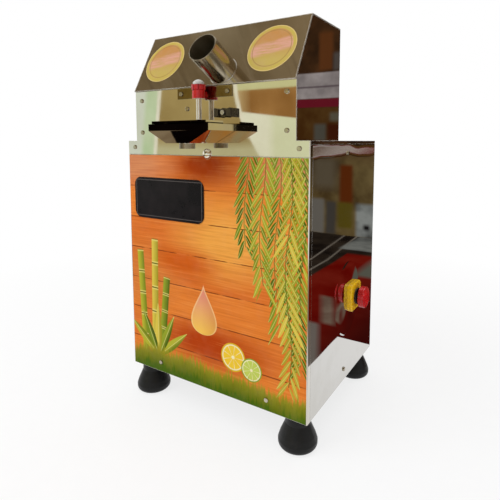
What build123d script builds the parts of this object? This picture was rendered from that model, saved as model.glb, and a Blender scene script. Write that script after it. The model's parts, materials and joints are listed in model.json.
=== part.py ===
from build123d import *
import math
import os

# Tabletop sugarcane juicer, in millimetres.
# +Z is up and the front faces -Y. Places below are measured from the floor midway between the feet.
# The finished pieces are then moved so that the origin is on the floor, under the middle of the overall box.

# Cabinet
BODY_W = 389.0
BODY_D = 318.0
SHEET = 1.5
SEAM = 0.5
SEAT_GAP = 0.2
COVER_H = 424.0
STRIP_H = 26.0
COVER_FOLD = 10.0
COVER_FOLD_R = 1.4
DECK_LIP = 6.0
BASE_T = 3.0
ANGLE_LEG = 40.0
ANGLE_T = 3.0
TOP_LEDGE = 24.0
BEAM_W = 25.0
BEAM_H = 25.0

# Rubber feet
FOOT_H = 57.0
FOOT_BASE_R = 33.2
FOOT_NECK_R = 21.3
FOOT_NECK_H = 15.0
FOOT_CONE_H = 20.0
FOOT_EDGE_R = 9.0
FOOT_SHOULDER = 3.0
FOOT_INSET_X = 28.5
FOOT_INSET_Y = 25.0
FOOT_BOLT_D = 10.0
FOOT_RECESS_H = 14.0
FOOT_RECESS_R = 12.0

# Head
HEAD_W = 342.0
HEAD_D = 172.0
HEAD_H = 200.0
HEAD_WALL_H = 98.5
SLOPE_RUN = 54.0
HOOD_LIP = 7.0
HEAD_FLANGE = 20.0
HEAD_SCREW_INSET = 16.0
HEAD_SCREW_LOW = 15.6
HEAD_SCREW_DROP = 24.0
STRIP_SCREW_INSET = 18.0
STRIP_SCREW_DROP = 12.0

# Feed tube, square to the sloped face of the hood
TUBE_X = 28.5
TUBE_OD = 50.8
TUBE_WALL = 1.6
TUBE_UP = 20.0
TUBE_OUT = 62.5
TUBE_IN = 29.0
WELD_GAP = 0.15

# Crusher: three fluted rollers geared together
GEAR_MODULE = 3.0
ROLLER_TEETH = 20
IDLER_TEETH = 24
PINION_TEETH = 18
GEAR_BACKLASH = 0.5
GEAR_FACE = 18.0
GEAR_GAP = 3.0
PRESSURE_ANGLE = 20.0
GEAR_DEDENDUM = 1.25
NIP_DEPTH = 75.0
LOWER_SPREAD = 68.0
CRUSH_GAP = 1.4
ROLLER_LEN = 95.0
ROLLER_END_GAP = 3.5
FLUTES = 24
FLUTE_DEPTH = 1.5
JOURNAL_R = 11.0
RUNNING_FIT = 0.05
KEYED_FIT = 0.05
BUSH_WALL = 4.0
BUSH_FLANGE_R = 19.0
BUSH_FLANGE_T = 2.5
CHEEK_T = 10.0
CHEEK_MARGIN = 32.0
CHEEK_CROWN = 30.0
CHEEK_BACK = 40.0
CHEEK_TOP_MARGIN = 5.0
CHEEK_BOLT_INSETS = (10.0, 44.0)
TIE_R = 7.0
TIE_SPIGOT_R = 5.0
TIE_LIFT = 43.0
TIE_SPREAD = 27.0
TIE_PAN_GAP = 1.0
FRAME_BOLT_D = 10.0
SCRAPE_GAP = 0.8
SCRAPER_T = 4.0
SCRAPER_BAR_T = 6.0
TRASH_DROP = 5.9
TRASH_HALF = 12.9
SCRAPER_SCREW_X = -43.0
SCRAPER_BAR_LOW = 9.0
SCRAPER_BAR_HIGH = 13.5

# Gear motor
GEARBOX_W = 82.0
GEARBOX_FRONT = 50.0
GEARBOX_BACK = 86.0
GEARBOX_DEEP = 50.0
GEARBOX_PLATE_T = 8.0
GEARBOX_PLATE_OVER = 40.0
GEARBOX_BOLT_OVER = 20.0
GEARBOX_R = 8.0
OUTPUT_R = 12.5
SHAFT_GAP = 0.05
WORM_OFFSET = 47.0
MOTOR_R = 58.0
MOTOR_FIN_H = 7.0
MOTOR_FINS = 28
MOTOR_LEN = 190.0
MOTOR_FLANGE_R = 69.0
MOTOR_FLANGE_T = 14.0
COWL_LEN = 48.0
TERMINAL_W = 60.0
TERMINAL_H = 70.0
TERMINAL_D = 40.0

# Juice path
PAN_SHEET = 1.2
PAN_INSET = 17.0
PAN_BACK_GAP = 6.0
PAN_WALL_H = 15.6
PAN_FLOOR_H = 7.0
PAN_FALL = 4.0
LIP_X = 10.0
LIP_W = 36.0
LIP_H = 9.0
LIP_OUT = 22.0
LIP_CLEAR = 1.6
TRAY_X = -4.7
TRAY_W = 125.7
TRAY_FLOOR_W = 49.0
TRAY_H = 31.0
TRAY_RIM_H = 11.0
TRAY_RIM_W = 10.0
TRAY_FOLD_H = 8.5
TRAY_LEN = 69.0
TRAY_SHEET = 1.2
TRAY_RIM_Z = 27.0
TRAY_WALL_GAP = 0.8
ROD_R = 3.0
ROD_CLEAR = 0.4
ROD_END_GAP = 6.0
OUTLET_R = 13.0
OUTLET_WALL = 1.5
OUTLET_LEN = 9.0
OUTLET_FROM_FRONT = 24.0
STRAINER_H = 8.0
STRAINER_CLEAR = 0.5
STRAINER_LIP_GAP = 1.5
STRAINER_RIM_W = 4.5
STRAINER_RIM_H = 4.5
STRAINER_HOLE_R = 1.6
STRAINER_PITCH = 6.0
CHUTE_SHEET = 1.5
CHUTE_WALL_H = 18.0
CHUTE_END_GAP = 10.0
CHUTE_END_H = 8.0
OUTLET_TOP_H = 138.0
OUTLET_SILL = 4.5

# Tap, wing knob and the plate behind the tap
TAP_X = -3.0
TAP_OUT = 17.0
TAP_H = 77.0
TAP_BODY_R = 11.0
TAP_BODY_H = 14.0
TAP_TAIL_R = 5.5
TAP_ELBOW_R = 7.0
TAP_SPOUT_R = 4.5
TAP_BORE_R = 3.0
TAP_END_CLEAR = 8.0
TAP_HANDLE_R = 12.0
TAP_HANDLE_H = 8.6
TAP_LOBES = 8
TAP_LOBE_R = 2.2
TAP_STEM_H = 5.0
TAP_CAP_R = 9.5
TAP_CAP_RIM = 3.5
TAP_CAP_DOME = 5.0
TAP_PLATE_XS = (-63.6, 54.0)
TAP_PLATE_H = 18.0
TAP_PLATE_T = 2.0
TAP_PLATE_DROP = 4.6
HOSE_R = 6.0
HOSE_BORE_R = 4.2
BARB_LEN = 21.0
INLET_NUT_R = 9.8
HOSE_X = -120.0
HOSE_BEND_R = 35.0
WING_X = 42.0
WING_H = 46.0
WING_W = 33.0
WING_T = 16.0
WING_WAIST = 9.0
WING_HUB_R = 7.5
WING_HUB_H = 9.1
WING_KNOT = 5.5
WING_CORNER_R = 1.5
WING_DIP_R = 7.8
WING_OUT = 13.0
WING_STUD_R = 4.0
TURN_FIT = 0.08

# Front print, name plate and hood stickers
FILM_T = 0.3
FILM_MARGIN = 2.0
NAME_W = 170.0
NAME_H = 78.0
NAME_T = 1.2
NAME_R = 15.0
NAME_X = -93.0
NAME_Z = 342.0
STICKER_R = 44.5
STICKER_XS = (-119.0, 112.5)
STICKER_UP = 56.0
STICKER_T = 0.3

# Emergency stop on the right side
STOP_Y = 38.0
STOP_Z = 154.0
STOP_BOX = 52.0
STOP_BOX_D = 9.0
STOP_BOX_R = 9.0
STOP_BOX_EDGE_R = 3.0
STOP_COLLAR_R = 15.0
STOP_COLLAR_H = 3.0
STOP_BARREL_R = 11.0
STOP_BARREL_LEN = 22.0
STOP_STEM_R = 5.0
STOP_TRAVEL = 5.0
STOP_HEAD_R = 20.0
STOP_HEAD_H = 15.0
STOP_HEAD_EDGE_R = 7.5
STOP_BLOCK = 40.0
STOP_BLOCK_D = 32.0

# Mains entry and the leads inside the cabinet
GLAND_INSET = 74.5
GLAND_Z = 75.0
GLAND_R = 10.0
GLAND_OUT = 14.0
LEAD_R = 3.5
LEAD_BEND_R = 18.0
LEAD_LOOP = 40.0
RUN_SHARE = 0.45
VENT_ROWS = 6
VENT_W = 70.0
VENT_H = 4.0
VENT_PITCH = 14.0
VENT_X = 70.0
VENT_Z = 300.0

# Small fasteners
SCREW_R = 2.0
SCREW_HEAD_R = 4.0
SCREW_HEAD_H = 2.2
SCREW_CLEAR = 0.1
SCREW_LEN = 7.0
COVER_SCREW_INSET = 75.0
COVER_SCREW_UP = 16.0
SIDE_SCREW_UP = 18.0
SIDE_SCREW_DROP = 20.0
DOME_R = 9.0
DOME_H = 7.5
DOME_SHANK_R = 3.0
DOME_UP = 3.5
HEX_ACROSS = 1.6
HEX_HEAD = 0.65
HEX_NUT = 0.8
HOLE_CLEAR = 0.2
HOLE_REACH = 6.0

# Planes and edges that follow from the sizes above
BODY_Z = FOOT_H
BODY_H = COVER_H + STRIP_H
DECK_Z = BODY_Z + BODY_H
COVER_TOP_Z = BODY_Z + COVER_H
SIDE_X = BODY_W / 2
FRONT_Y = -BODY_D / 2
BACK_Y = BODY_D / 2
INNER_X = SIDE_X - SHEET - SEAT_GAP
INNER_FRONT_Y = FRONT_Y + SHEET + SEAT_GAP
INNER_BACK_Y = BACK_Y - SHEET - SEAT_GAP
FRAME_Z = BODY_Z + BASE_T + SEAT_GAP
FRAME_TOP_Z = DECK_Z - SHEET - SEAT_GAP
PANEL_TOP_Z = DECK_Z - DECK_LIP - SEAM
PANEL_FRONT_Y = FRONT_Y + COVER_FOLD + SEAM
FOOT_X = SIDE_X - FOOT_INSET_X
FOOT_Y = BACK_Y - FOOT_INSET_Y

HEAD_X = HEAD_W / 2
HEAD_BACK_Y = FRONT_Y + HEAD_D
HEAD_TOP_Z = DECK_Z + HEAD_H
WALL_TOP_Z = DECK_Z + HEAD_WALL_H
SLOPE_RISE = HEAD_H - HEAD_WALL_H
SLOPE_LEN = math.hypot(SLOPE_RUN, SLOPE_RISE)
UP_Y = SLOPE_RUN / SLOPE_LEN
UP_Z = SLOPE_RISE / SLOPE_LEN
OUT_Y = -UP_Z
OUT_Z = UP_Y
SLOPE_OUT = (0, OUT_Y, OUT_Z)
PLATE_TOP_Z = WALL_TOP_Z - SHEET / OUT_Z - SEAT_GAP
PLATE_LOW_Z = COVER_TOP_Z + SEAM


def slope_point(along, out=0.0):
    """Point (y, z) on the sloped face, measured up from its lower edge."""
    return (FRONT_Y + along * UP_Y + out * OUT_Y, WALL_TOP_Z + along * UP_Z + out * OUT_Z)


def slope_z(y, inset):
    """Height of the slope, moved inwards by an inset, at a depth y."""
    return WALL_TOP_Z + (y - FRONT_Y) * SLOPE_RISE / SLOPE_RUN - inset / OUT_Z


def slope_y(z, inset):
    """Depth of the slope, moved inwards by an inset, at a height z."""
    return FRONT_Y + (z - WALL_TOP_Z + inset / OUT_Z) * SLOPE_RUN / SLOPE_RISE


# Roller centres, worked out from the feed tube's axis and the gear sizes
TUBE_R = TUBE_OD / 2
ROLLER_CENTRES = GEAR_MODULE * ROLLER_TEETH
ROLLER_R = (ROLLER_CENTRES - CRUSH_GAP) / 2
LOWER_DROP = math.sqrt(ROLLER_CENTRES ** 2 - (LOWER_SPREAD / 2) ** 2)
NIP_Y, NIP_Z = slope_point(TUBE_UP, -NIP_DEPTH)
TOP_YZ = (NIP_Y + LOWER_SPREAD / 4, NIP_Z + LOWER_DROP / 2)
FRONT_YZ = (TOP_YZ[0] - LOWER_SPREAD / 2, TOP_YZ[1] - LOWER_DROP)
REAR_YZ = (TOP_YZ[0] + LOWER_SPREAD / 2, TOP_YZ[1] - LOWER_DROP)
IDLER_YZ = (REAR_YZ[0], REAR_YZ[1] - GEAR_MODULE * (ROLLER_TEETH + IDLER_TEETH) / 2)
PINION_YZ = (REAR_YZ[0], IDLER_YZ[1] - GEAR_MODULE * (IDLER_TEETH + PINION_TEETH) / 2)
GEAR_OUTER_R = GEAR_MODULE * (ROLLER_TEETH + 2) / 2

# Stations across the crusher, from the gear side to the free side
ROLLER_XS = (TUBE_X - ROLLER_LEN / 2, TUBE_X + ROLLER_LEN / 2)
CHEEK_LEFT_XS = (ROLLER_XS[0] - ROLLER_END_GAP - CHEEK_T, ROLLER_XS[0] - ROLLER_END_GAP)
CHEEK_RIGHT_XS = (ROLLER_XS[1] + ROLLER_END_GAP, ROLLER_XS[1] + ROLLER_END_GAP + CHEEK_T)
CHANNEL_XS = (CHEEK_LEFT_XS[1], CHEEK_RIGHT_XS[0])
GEAR_XS = (CHEEK_LEFT_XS[0] - GEAR_GAP - GEAR_FACE, CHEEK_LEFT_XS[0] - GEAR_GAP)
BEAM_LEFT_XS = (CHANNEL_XS[0] + SEAT_GAP, CHANNEL_XS[0] + SEAT_GAP + BEAM_W)
BEAM_RIGHT_XS = (CHANNEL_XS[1] - SEAT_GAP - BEAM_W, CHANNEL_XS[1] - SEAT_GAP)
BEAM_Z = FRAME_TOP_Z - BEAM_H
CHEEK_YS = (FRONT_YZ[0] - CHEEK_MARGIN, REAR_YZ[0] + CHEEK_BACK)
CHEEK_LOW_Z = BEAM_Z - GEARBOX_PLATE_T
CHEEK_TOP_Z = TOP_YZ[1] + TIE_LIFT + TIE_R + CHEEK_TOP_MARGIN
CHEEK_SHOULDER_Z = FRONT_YZ[1] + CHEEK_MARGIN
BUSH_R = JOURNAL_R + RUNNING_FIT + BUSH_WALL
PAN_TOP_Z = DECK_Z + PAN_WALL_H
LOW_TIE_Z = PAN_TOP_Z + TIE_PAN_GAP + TIE_R
TIE_POINTS = (
    (TOP_YZ[0], TOP_YZ[1] + TIE_LIFT),
    (FRONT_YZ[0] - TIE_SPREAD, LOW_TIE_Z),
    (REAR_YZ[0] + TIE_SPREAD, LOW_TIE_Z),
)
CHEEK_BOLT_YS = [CHEEK_YS[0] + inset for inset in CHEEK_BOLT_INSETS]
CHEEK_BOLT_Z = BEAM_Z + BEAM_H / 2

# Gear motor stations
GEARBOX_TOP_Z = BEAM_Z - SEAT_GAP * 2 - GEARBOX_PLATE_T
GEARBOX_LOW_Z = PINION_YZ[1] - GEARBOX_DEEP
GEARBOX_XS = (TUBE_X - GEARBOX_W / 2, TUBE_X + GEARBOX_W / 2)
GEARBOX_YS = (PINION_YZ[0] - GEARBOX_FRONT, PINION_YZ[0] + GEARBOX_BACK)
MOTOR_Y = PINION_YZ[0] + WORM_OFFSET
MOTOR_TOP_Z = GEARBOX_LOW_Z - SEAT_GAP
MOTOR_LOW_Z = MOTOR_TOP_Z - MOTOR_FLANGE_T - MOTOR_LEN
MOTOR_OUTER_R = MOTOR_R + MOTOR_FIN_H

# Juice tray stations
TRAY_TOP_Z = DECK_Z + TRAY_RIM_Z
TRAY_LOW_Z = TRAY_TOP_Z - TRAY_H
TRAY_BACK_Y = FRONT_Y - TRAY_WALL_GAP
TRAY_FRONT_Y = TRAY_BACK_Y - TRAY_LEN
TRAY_INNER_X = TRAY_W / 2 - TRAY_RIM_W
TRAY_OUTER_X = TRAY_W / 2
TRAY_KNEE_Z = TRAY_TOP_Z - TRAY_RIM_H
TRAY_PITCH = math.atan2(TRAY_KNEE_Z - TRAY_LOW_Z, (TRAY_W - TRAY_FLOOR_W) / 2)
ROD_XS = (TRAY_X - TRAY_OUTER_X + TRAY_RIM_W / 2, TRAY_X + TRAY_OUTER_X - TRAY_RIM_W / 2)
ROD_Z = TRAY_TOP_Z - TRAY_SHEET - ROD_CLEAR - ROD_R
STRAINER_Z = TRAY_LOW_Z + STRAINER_H
OUTLET_Y = TRAY_FRONT_Y + OUTLET_FROM_FRONT
PAN_FLOOR_Z = DECK_Z + PAN_FLOOR_H
PAN_YS = (FRONT_Y + PAN_INSET, CHEEK_YS[1] - PAN_BACK_GAP)
LIP_XS = (LIP_X - LIP_W / 2, LIP_X + LIP_W / 2)
LIP_END_Y = FRONT_Y - LIP_OUT
TAP_Y = FRONT_Y - TAP_OUT
TAP_Z = DECK_Z + TAP_H
HOSE_Y = INNER_FRONT_Y + HOSE_R + TAP_TAIL_R
WING_Z = DECK_Z + WING_H
STOP_CENTRE_Z = BODY_Z + STOP_Z
STOP_FACE_X = SIDE_X + STOP_BOX_D
GLAND_X = SIDE_X - GLAND_INSET
GLAND_CENTRE_Z = BODY_Z + GLAND_Z
FILM_Y = FRONT_Y - FILM_T

# Small screws on the front: head plate, tap plate, then the printed cover's lower edge
PLATE_SCREWS = [(side * x, z) for side in (-1, 1) for x, z in (
    (SIDE_X - STRIP_SCREW_INSET, DECK_Z - STRIP_SCREW_DROP),
    (HEAD_X - HEAD_SCREW_INSET, DECK_Z + HEAD_SCREW_LOW),
    (HEAD_X - HEAD_SCREW_INSET, WALL_TOP_Z - HEAD_SCREW_DROP),
)]
TAP_PLATE_TOP_Z = PLATE_TOP_Z - TAP_PLATE_DROP
TAP_PLATE_Z = TAP_PLATE_TOP_Z - TAP_PLATE_H / 2
TAP_PLATE_SCREWS = [(TAP_PLATE_XS[0] + TAP_PLATE_H / 2, TAP_PLATE_Z),
                    (TAP_PLATE_XS[1] - TAP_PLATE_H / 2, TAP_PLATE_Z)]
COVER_SCREWS = [(side * (SIDE_X - COVER_SCREW_INSET), FRAME_Z + COVER_SCREW_UP) for side in (-1, 1)]
SIDE_SCREWS = [(0.0, FRAME_Z + SIDE_SCREW_UP), (0.0, FRAME_TOP_Z - SIDE_SCREW_DROP)]
DOME_Z = COVER_TOP_Z + DOME_UP
SCRAPER_SCREW = (SCRAPER_SCREW_X, WING_Z + SCRAPER_BAR_HIGH - SCREW_HEAD_R)

ON_BASE = (Align.CENTER, Align.CENTER, Align.MIN)


def block(xs, ys, zs):
    """Box between a low and a high value on each axis."""
    spans = (xs, ys, zs)
    middle = [(low + high) / 2 for low, high in spans]
    size = [high - low for low, high in spans]
    return Pos(*middle) * Box(*size)


def hollow_block(xs, ys, zs, wall):
    """Upright rectangular ring with an even wall."""
    inside = block((xs[0] + wall, xs[1] - wall), (ys[0] + wall, ys[1] - wall), zs)
    return block(xs, ys, zs) - inside


def placed(shape, origin, direction):
    """Shape drawn along +Z, moved so that it starts at the origin and runs along a direction."""
    side = (0, 1, 0) if direction[0] else (1, 0, 0)
    return Plane(origin=origin, x_dir=side, z_dir=direction).location * shape


def bar(origin, direction, length, radius):
    """Round bar from a point along a direction."""
    return placed(Cylinder(radius, length, align=ON_BASE), origin, direction)


def bar_x(xs, yz, radius):
    """Round bar along X through a (y, z) centre."""
    return bar((xs[0], yz[0], yz[1]), (1, 0, 0), xs[1] - xs[0], radius)


def bar_y(ys, x, z, radius):
    """Round bar along Y."""
    return bar((x, ys[0], z), (0, 1, 0), ys[1] - ys[0], radius)


def bar_z(zs, x, y, radius):
    """Round bar along Z."""
    return bar((x, y, zs[0]), (0, 0, 1), zs[1] - zs[0], radius)


def face_x(edges, x):
    """Face square to X from edges drawn in (y, z)."""
    plane = Plane(origin=(x, 0, 0), x_dir=(0, 1, 0), z_dir=(1, 0, 0))
    return plane.location * make_face(edges)


def prism_x(outline, xs):
    """Plate square to X from a (y, z) outline."""
    face = face_x(Polyline(*outline, close=True), xs[0])
    return extrude(face, amount=xs[1] - xs[0], dir=(1, 0, 0))


def prism_y(outline, ys):
    """Plate square to Y from an (x, z) outline."""
    plane = Plane(origin=(0, ys[0], 0), x_dir=(1, 0, 0), z_dir=(0, -1, 0))
    face = plane.location * make_face(Polyline(*outline, close=True))
    return extrude(face, amount=ys[1] - ys[0], dir=(0, 1, 0))


def hex_bar(diameter, height):
    """Hexagon bar for a bolt head or nut of a thread diameter."""
    return extrude(RegularPolygon(diameter * HEX_ACROSS / 2, 6, major_radius=False), height)


def bolt_and_nut(origin, direction, diameter, grip):
    """Hex bolt whose head ends at the origin, and the nut beyond its grip."""
    head = hex_bar(diameter, diameter * HEX_HEAD)
    head = Pos(0, 0, -diameter * HEX_HEAD) * head
    bolt = head + Cylinder(diameter / 2, grip + diameter, align=ON_BASE)
    nut = Pos(0, 0, grip) * hex_bar(diameter, diameter * HEX_NUT)
    nut -= Cylinder(diameter / 2 + SCREW_CLEAR, grip + diameter * 2, align=ON_BASE)
    return [placed(bolt, origin, direction), placed(nut, origin, direction)]


def pan_screw(origin, direction):
    """Small pan-head screw: the head before the origin, the shank beyond it."""
    head = Cylinder(SCREW_HEAD_R, SCREW_HEAD_H, align=ON_BASE)
    head = fillet(head.edges().sort_by(Axis.Z)[:1], SCREW_HEAD_H / 2)
    head = Pos(0, 0, -SCREW_HEAD_H) * head
    screw = head + Cylinder(SCREW_R, SCREW_LEN, align=ON_BASE)
    return placed(screw, origin, direction)


def screw_holes(points, ys):
    """Clearance holes along Y at a list of (x, z) points."""
    return [bar_y(ys, x, z, SCREW_R + SCREW_CLEAR) for x, z in points]


def side_screw_holes(xs):
    """Clearance holes along X for the screws of a side panel."""
    return [bar_x(xs, point, SCREW_R + SCREW_CLEAR) for point in SIDE_SCREWS]


# Gears: involute teeth, drawn round (y, z) centres

def polar(radius, angle):
    """Point at a radius and angle."""
    return (radius * math.cos(angle), radius * math.sin(angle))


def involute(angle):
    """Involute function of a pressure angle."""
    return math.tan(angle) - angle


def gear_edges(teeth, phase):
    """Closed outline of an external gear whose first tooth points along the phase."""
    pitch_r = GEAR_MODULE * teeth / 2
    tip_r = pitch_r + GEAR_MODULE
    root_r = pitch_r - GEAR_MODULE * GEAR_DEDENDUM
    base_r = pitch_r * math.cos(math.radians(PRESSURE_ANGLE))
    half_pitch = math.pi / (2 * teeth) - GEAR_BACKLASH / (4 * pitch_r)
    half_base = half_pitch + involute(math.radians(PRESSURE_ANGLE))
    flank = [base_r, (base_r + tip_r) / 2, tip_r]
    halves = [half_base - involute(math.acos(base_r / r)) for r in flank]
    step = 2 * math.pi / teeth
    edges = []
    for tooth in range(teeth):
        middle = phase + tooth * step
        rise = [polar(r, middle - half) for r, half in zip(flank, halves)]
        fall = [polar(r, middle + half) for r, half in zip(flank, halves)]
        root_in = polar(root_r, middle - half_base)
        root_out = polar(root_r, middle + half_base)
        next_in = polar(root_r, middle + step - half_base)
        edges.append(Line(root_in, rise[0]))
        edges.append(ThreePointArc(*rise))
        edges.append(ThreePointArc(rise[2], polar(tip_r, middle), fall[2]))
        edges.append(ThreePointArc(*reversed(fall)))
        edges.append(Line(fall[0], root_out))
        edges.append(ThreePointArc(root_out, polar(root_r, middle + step / 2), next_in))
    return edges


def meshed_phase(phase, teeth, centre, next_teeth, next_centre):
    """Phase of a gear that meshes with a gear of known phase."""
    line = math.atan2(next_centre[1] - centre[1], next_centre[0] - centre[0])
    return line + math.pi - (phase - line) * teeth / next_teeth + math.pi / next_teeth


TOP_PHASE = 0.0
FRONT_PHASE = meshed_phase(TOP_PHASE, ROLLER_TEETH, TOP_YZ, ROLLER_TEETH, FRONT_YZ)
REAR_PHASE = meshed_phase(TOP_PHASE, ROLLER_TEETH, TOP_YZ, ROLLER_TEETH, REAR_YZ)
IDLER_PHASE = meshed_phase(REAR_PHASE, ROLLER_TEETH, REAR_YZ, IDLER_TEETH, IDLER_YZ)
PINION_PHASE = meshed_phase(IDLER_PHASE, IDLER_TEETH, IDLER_YZ, PINION_TEETH, PINION_YZ)


def gear(teeth, phase, centre, bore_r):
    """Spur gear on the gear side of the crusher."""
    face = face_x(gear_edges(teeth, phase), GEAR_XS[0])
    body = extrude(face, amount=GEAR_FACE, dir=(1, 0, 0))
    body = Pos(0, centre[0], centre[1]) * body
    return body - bar_x(GEAR_XS, centre, bore_r)


def ribbed_edges(low_r, high_r, count, share):
    """Outline of a round bar with even lands, where share is the land's part of each step."""
    step = 2 * math.pi / count
    half = step * share / 2
    edges = []
    for land in range(count):
        middle = land * step
        start = polar(high_r, middle - half)
        end = polar(high_r, middle + half)
        low_in = polar(low_r, middle + half)
        low_out = polar(low_r, middle + step - half)
        next_start = polar(high_r, middle + step - half)
        edges.append(ThreePointArc(start, polar(high_r, middle), end))
        edges.append(Line(end, low_in))
        edges.append(ThreePointArc(low_in, polar(low_r, middle + step / 2), low_out))
        edges.append(Line(low_out, next_start))
    return edges


def dome(radius, height):
    """Part of a ball on the ground plane, rising along Z."""
    sphere_r = (radius ** 2 + height ** 2) / (2 * height)
    ball = Pos(0, 0, height - sphere_r) * Sphere(sphere_r)
    return ball - Pos(0, 0, -sphere_r * 2) * Cylinder(sphere_r * 2, sphere_r * 2, align=ON_BASE)


# Cabinet pieces

def base_plate():
    """Bottom plate that carries the frame and the feet."""
    plate = block((-INNER_X, INNER_X), (INNER_FRONT_Y, INNER_BACK_Y), (BODY_Z, BODY_Z + BASE_T))
    return plate - foot_bolt_holes()


def foot_points():
    """Centres of the four feet."""
    return [(x, y) for x in (-FOOT_X, FOOT_X) for y in (-FOOT_Y, FOOT_Y)]


def foot_bolt_holes():
    """Clearance holes for the foot bolts."""
    radius = FOOT_BOLT_D / 2 + HOLE_CLEAR
    return [bar_z((0, FRAME_Z + ANGLE_LEG), x, y, radius) for x, y in foot_points()]


def frame():
    """Welded angle frame with two channel beams that carry the crusher."""
    xs = (-INNER_X, INNER_X)
    ys = (INNER_FRONT_Y, INNER_BACK_Y)
    shape = hollow_block(xs, ys, (FRAME_Z, FRAME_Z + ANGLE_T), ANGLE_LEG)
    shape += hollow_block(xs, ys, (FRAME_Z, FRAME_Z + ANGLE_LEG), ANGLE_T)
    shape += hollow_block(xs, ys, (FRAME_TOP_Z - ANGLE_T, FRAME_TOP_Z), TOP_LEDGE)
    shape += hollow_block(xs, ys, (FRAME_TOP_Z - ANGLE_LEG, FRAME_TOP_Z), ANGLE_T)
    for x_side in (-1, 1):
        for y_side, y_edge in ((-1, ys[0]), (1, ys[1])):
            shape += corner_post(x_side, y_side, y_edge)
    for beam_xs in (BEAM_LEFT_XS, BEAM_RIGHT_XS):
        shape += channel_beam(beam_xs, ys)
    shape -= foot_bolt_holes()
    shape -= frame_bolt_holes()
    shape -= screw_holes(COVER_SCREWS + PLATE_SCREWS, (ys[0] - SHEET, ys[0] + ANGLE_LEG))
    shape -= bar_y((ys[0] - SHEET, ys[0] + ANGLE_LEG), 0, DOME_Z, DOME_SHANK_R + SCREW_CLEAR)
    shape -= side_screw_holes((-SIDE_X, SIDE_X))
    return shape


def corner_post(x_side, y_side, y_edge):
    """Upright angle in one corner of the frame."""
    zs = (FRAME_Z, FRAME_TOP_Z)
    leg_xs = sorted((x_side * INNER_X, x_side * (INNER_X - ANGLE_LEG)))
    wall_xs = sorted((x_side * INNER_X, x_side * (INNER_X - ANGLE_T)))
    leg_ys = sorted((y_edge, y_edge - y_side * ANGLE_LEG))
    wall_ys = sorted((y_edge, y_edge - y_side * ANGLE_T))
    return block(leg_xs, wall_ys, zs) + block(wall_xs, leg_ys, zs)


def channel_beam(xs, ys):
    """Channel from the front to the back of the frame, open at the top."""
    inner_ys = (ys[0] + ANGLE_T, ys[1] - ANGLE_T)
    beam = block(xs, inner_ys, (BEAM_Z, FRAME_TOP_Z))
    hollow = block((xs[0] + ANGLE_T, xs[1] - ANGLE_T), inner_ys, (BEAM_Z + ANGLE_T, FRAME_TOP_Z))
    return beam - hollow


def rubber_foot(x, y):
    """Bell-shaped rubber foot with a recess for its bolt head."""
    cone_z = FOOT_H - FOOT_NECK_H
    base_top = cone_z - FOOT_CONE_H
    bulge_r = FOOT_BASE_R - FOOT_EDGE_R
    edges = Line((0, 0), (bulge_r, 0))
    edges += RadiusArc((bulge_r, 0), (FOOT_BASE_R, FOOT_EDGE_R), -FOOT_EDGE_R)
    edges += Line((FOOT_BASE_R, FOOT_EDGE_R), (FOOT_BASE_R, base_top - FOOT_EDGE_R))
    edges += Polyline((FOOT_BASE_R, base_top - FOOT_EDGE_R), (FOOT_BASE_R - FOOT_SHOULDER, base_top),
                      (FOOT_NECK_R, cone_z), (FOOT_NECK_R, FOOT_H), (0, FOOT_H), (0, 0))
    foot = revolve(Plane.XZ * make_face(edges), Axis.Z)
    foot -= Cylinder(FOOT_RECESS_R, FOOT_RECESS_H, align=ON_BASE)
    foot -= Cylinder(FOOT_BOLT_D / 2 + HOLE_CLEAR, FOOT_H, align=ON_BASE)
    return Pos(x, y, 0) * foot


def rubber_feet():
    """The four feet."""
    return [rubber_foot(x, y) for x, y in foot_points()]


def foot_bolts():
    """Bolts from the feet up through the base plate and the frame, with their nuts."""
    grip = FRAME_Z + ANGLE_T - FOOT_RECESS_H
    pieces = []
    for x, y in foot_points():
        pieces += bolt_and_nut((x, y, FOOT_RECESS_H), (0, 0, 1), FOOT_BOLT_D, grip)
    return pieces


def side_panel(side):
    """Polished side sheet."""
    xs = sorted((side * SIDE_X, side * (SIDE_X - SHEET)))
    panel = block(xs, (PANEL_FRONT_Y, BACK_Y), (BODY_Z, PANEL_TOP_Z))
    return panel - side_screw_holes(xs)


def side_panel_left():
    """Plain side sheet."""
    return side_panel(-1)


def side_panel_right():
    """Side sheet with the hole for the emergency stop."""
    hole = bar_x((0, SIDE_X), (STOP_Y, STOP_CENTRE_Z), STOP_BARREL_R + HOLE_CLEAR)
    return side_panel(1) - hole


def back_panel():
    """Rear sheet with the mains gland's hole and cooling slots."""
    ys = (BACK_Y - SHEET, BACK_Y)
    panel = block((-INNER_X, INNER_X), ys, (BODY_Z, PANEL_TOP_Z))
    panel -= bar_y(ys, GLAND_X, GLAND_CENTRE_Z, GLAND_R + HOLE_CLEAR)
    for row in range(VENT_ROWS):
        z = VENT_Z + row * VENT_PITCH
        for x in (-VENT_X, VENT_X):
            panel -= block((x - VENT_W / 2, x + VENT_W / 2), ys, (z, z + VENT_H))
    return panel


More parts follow.
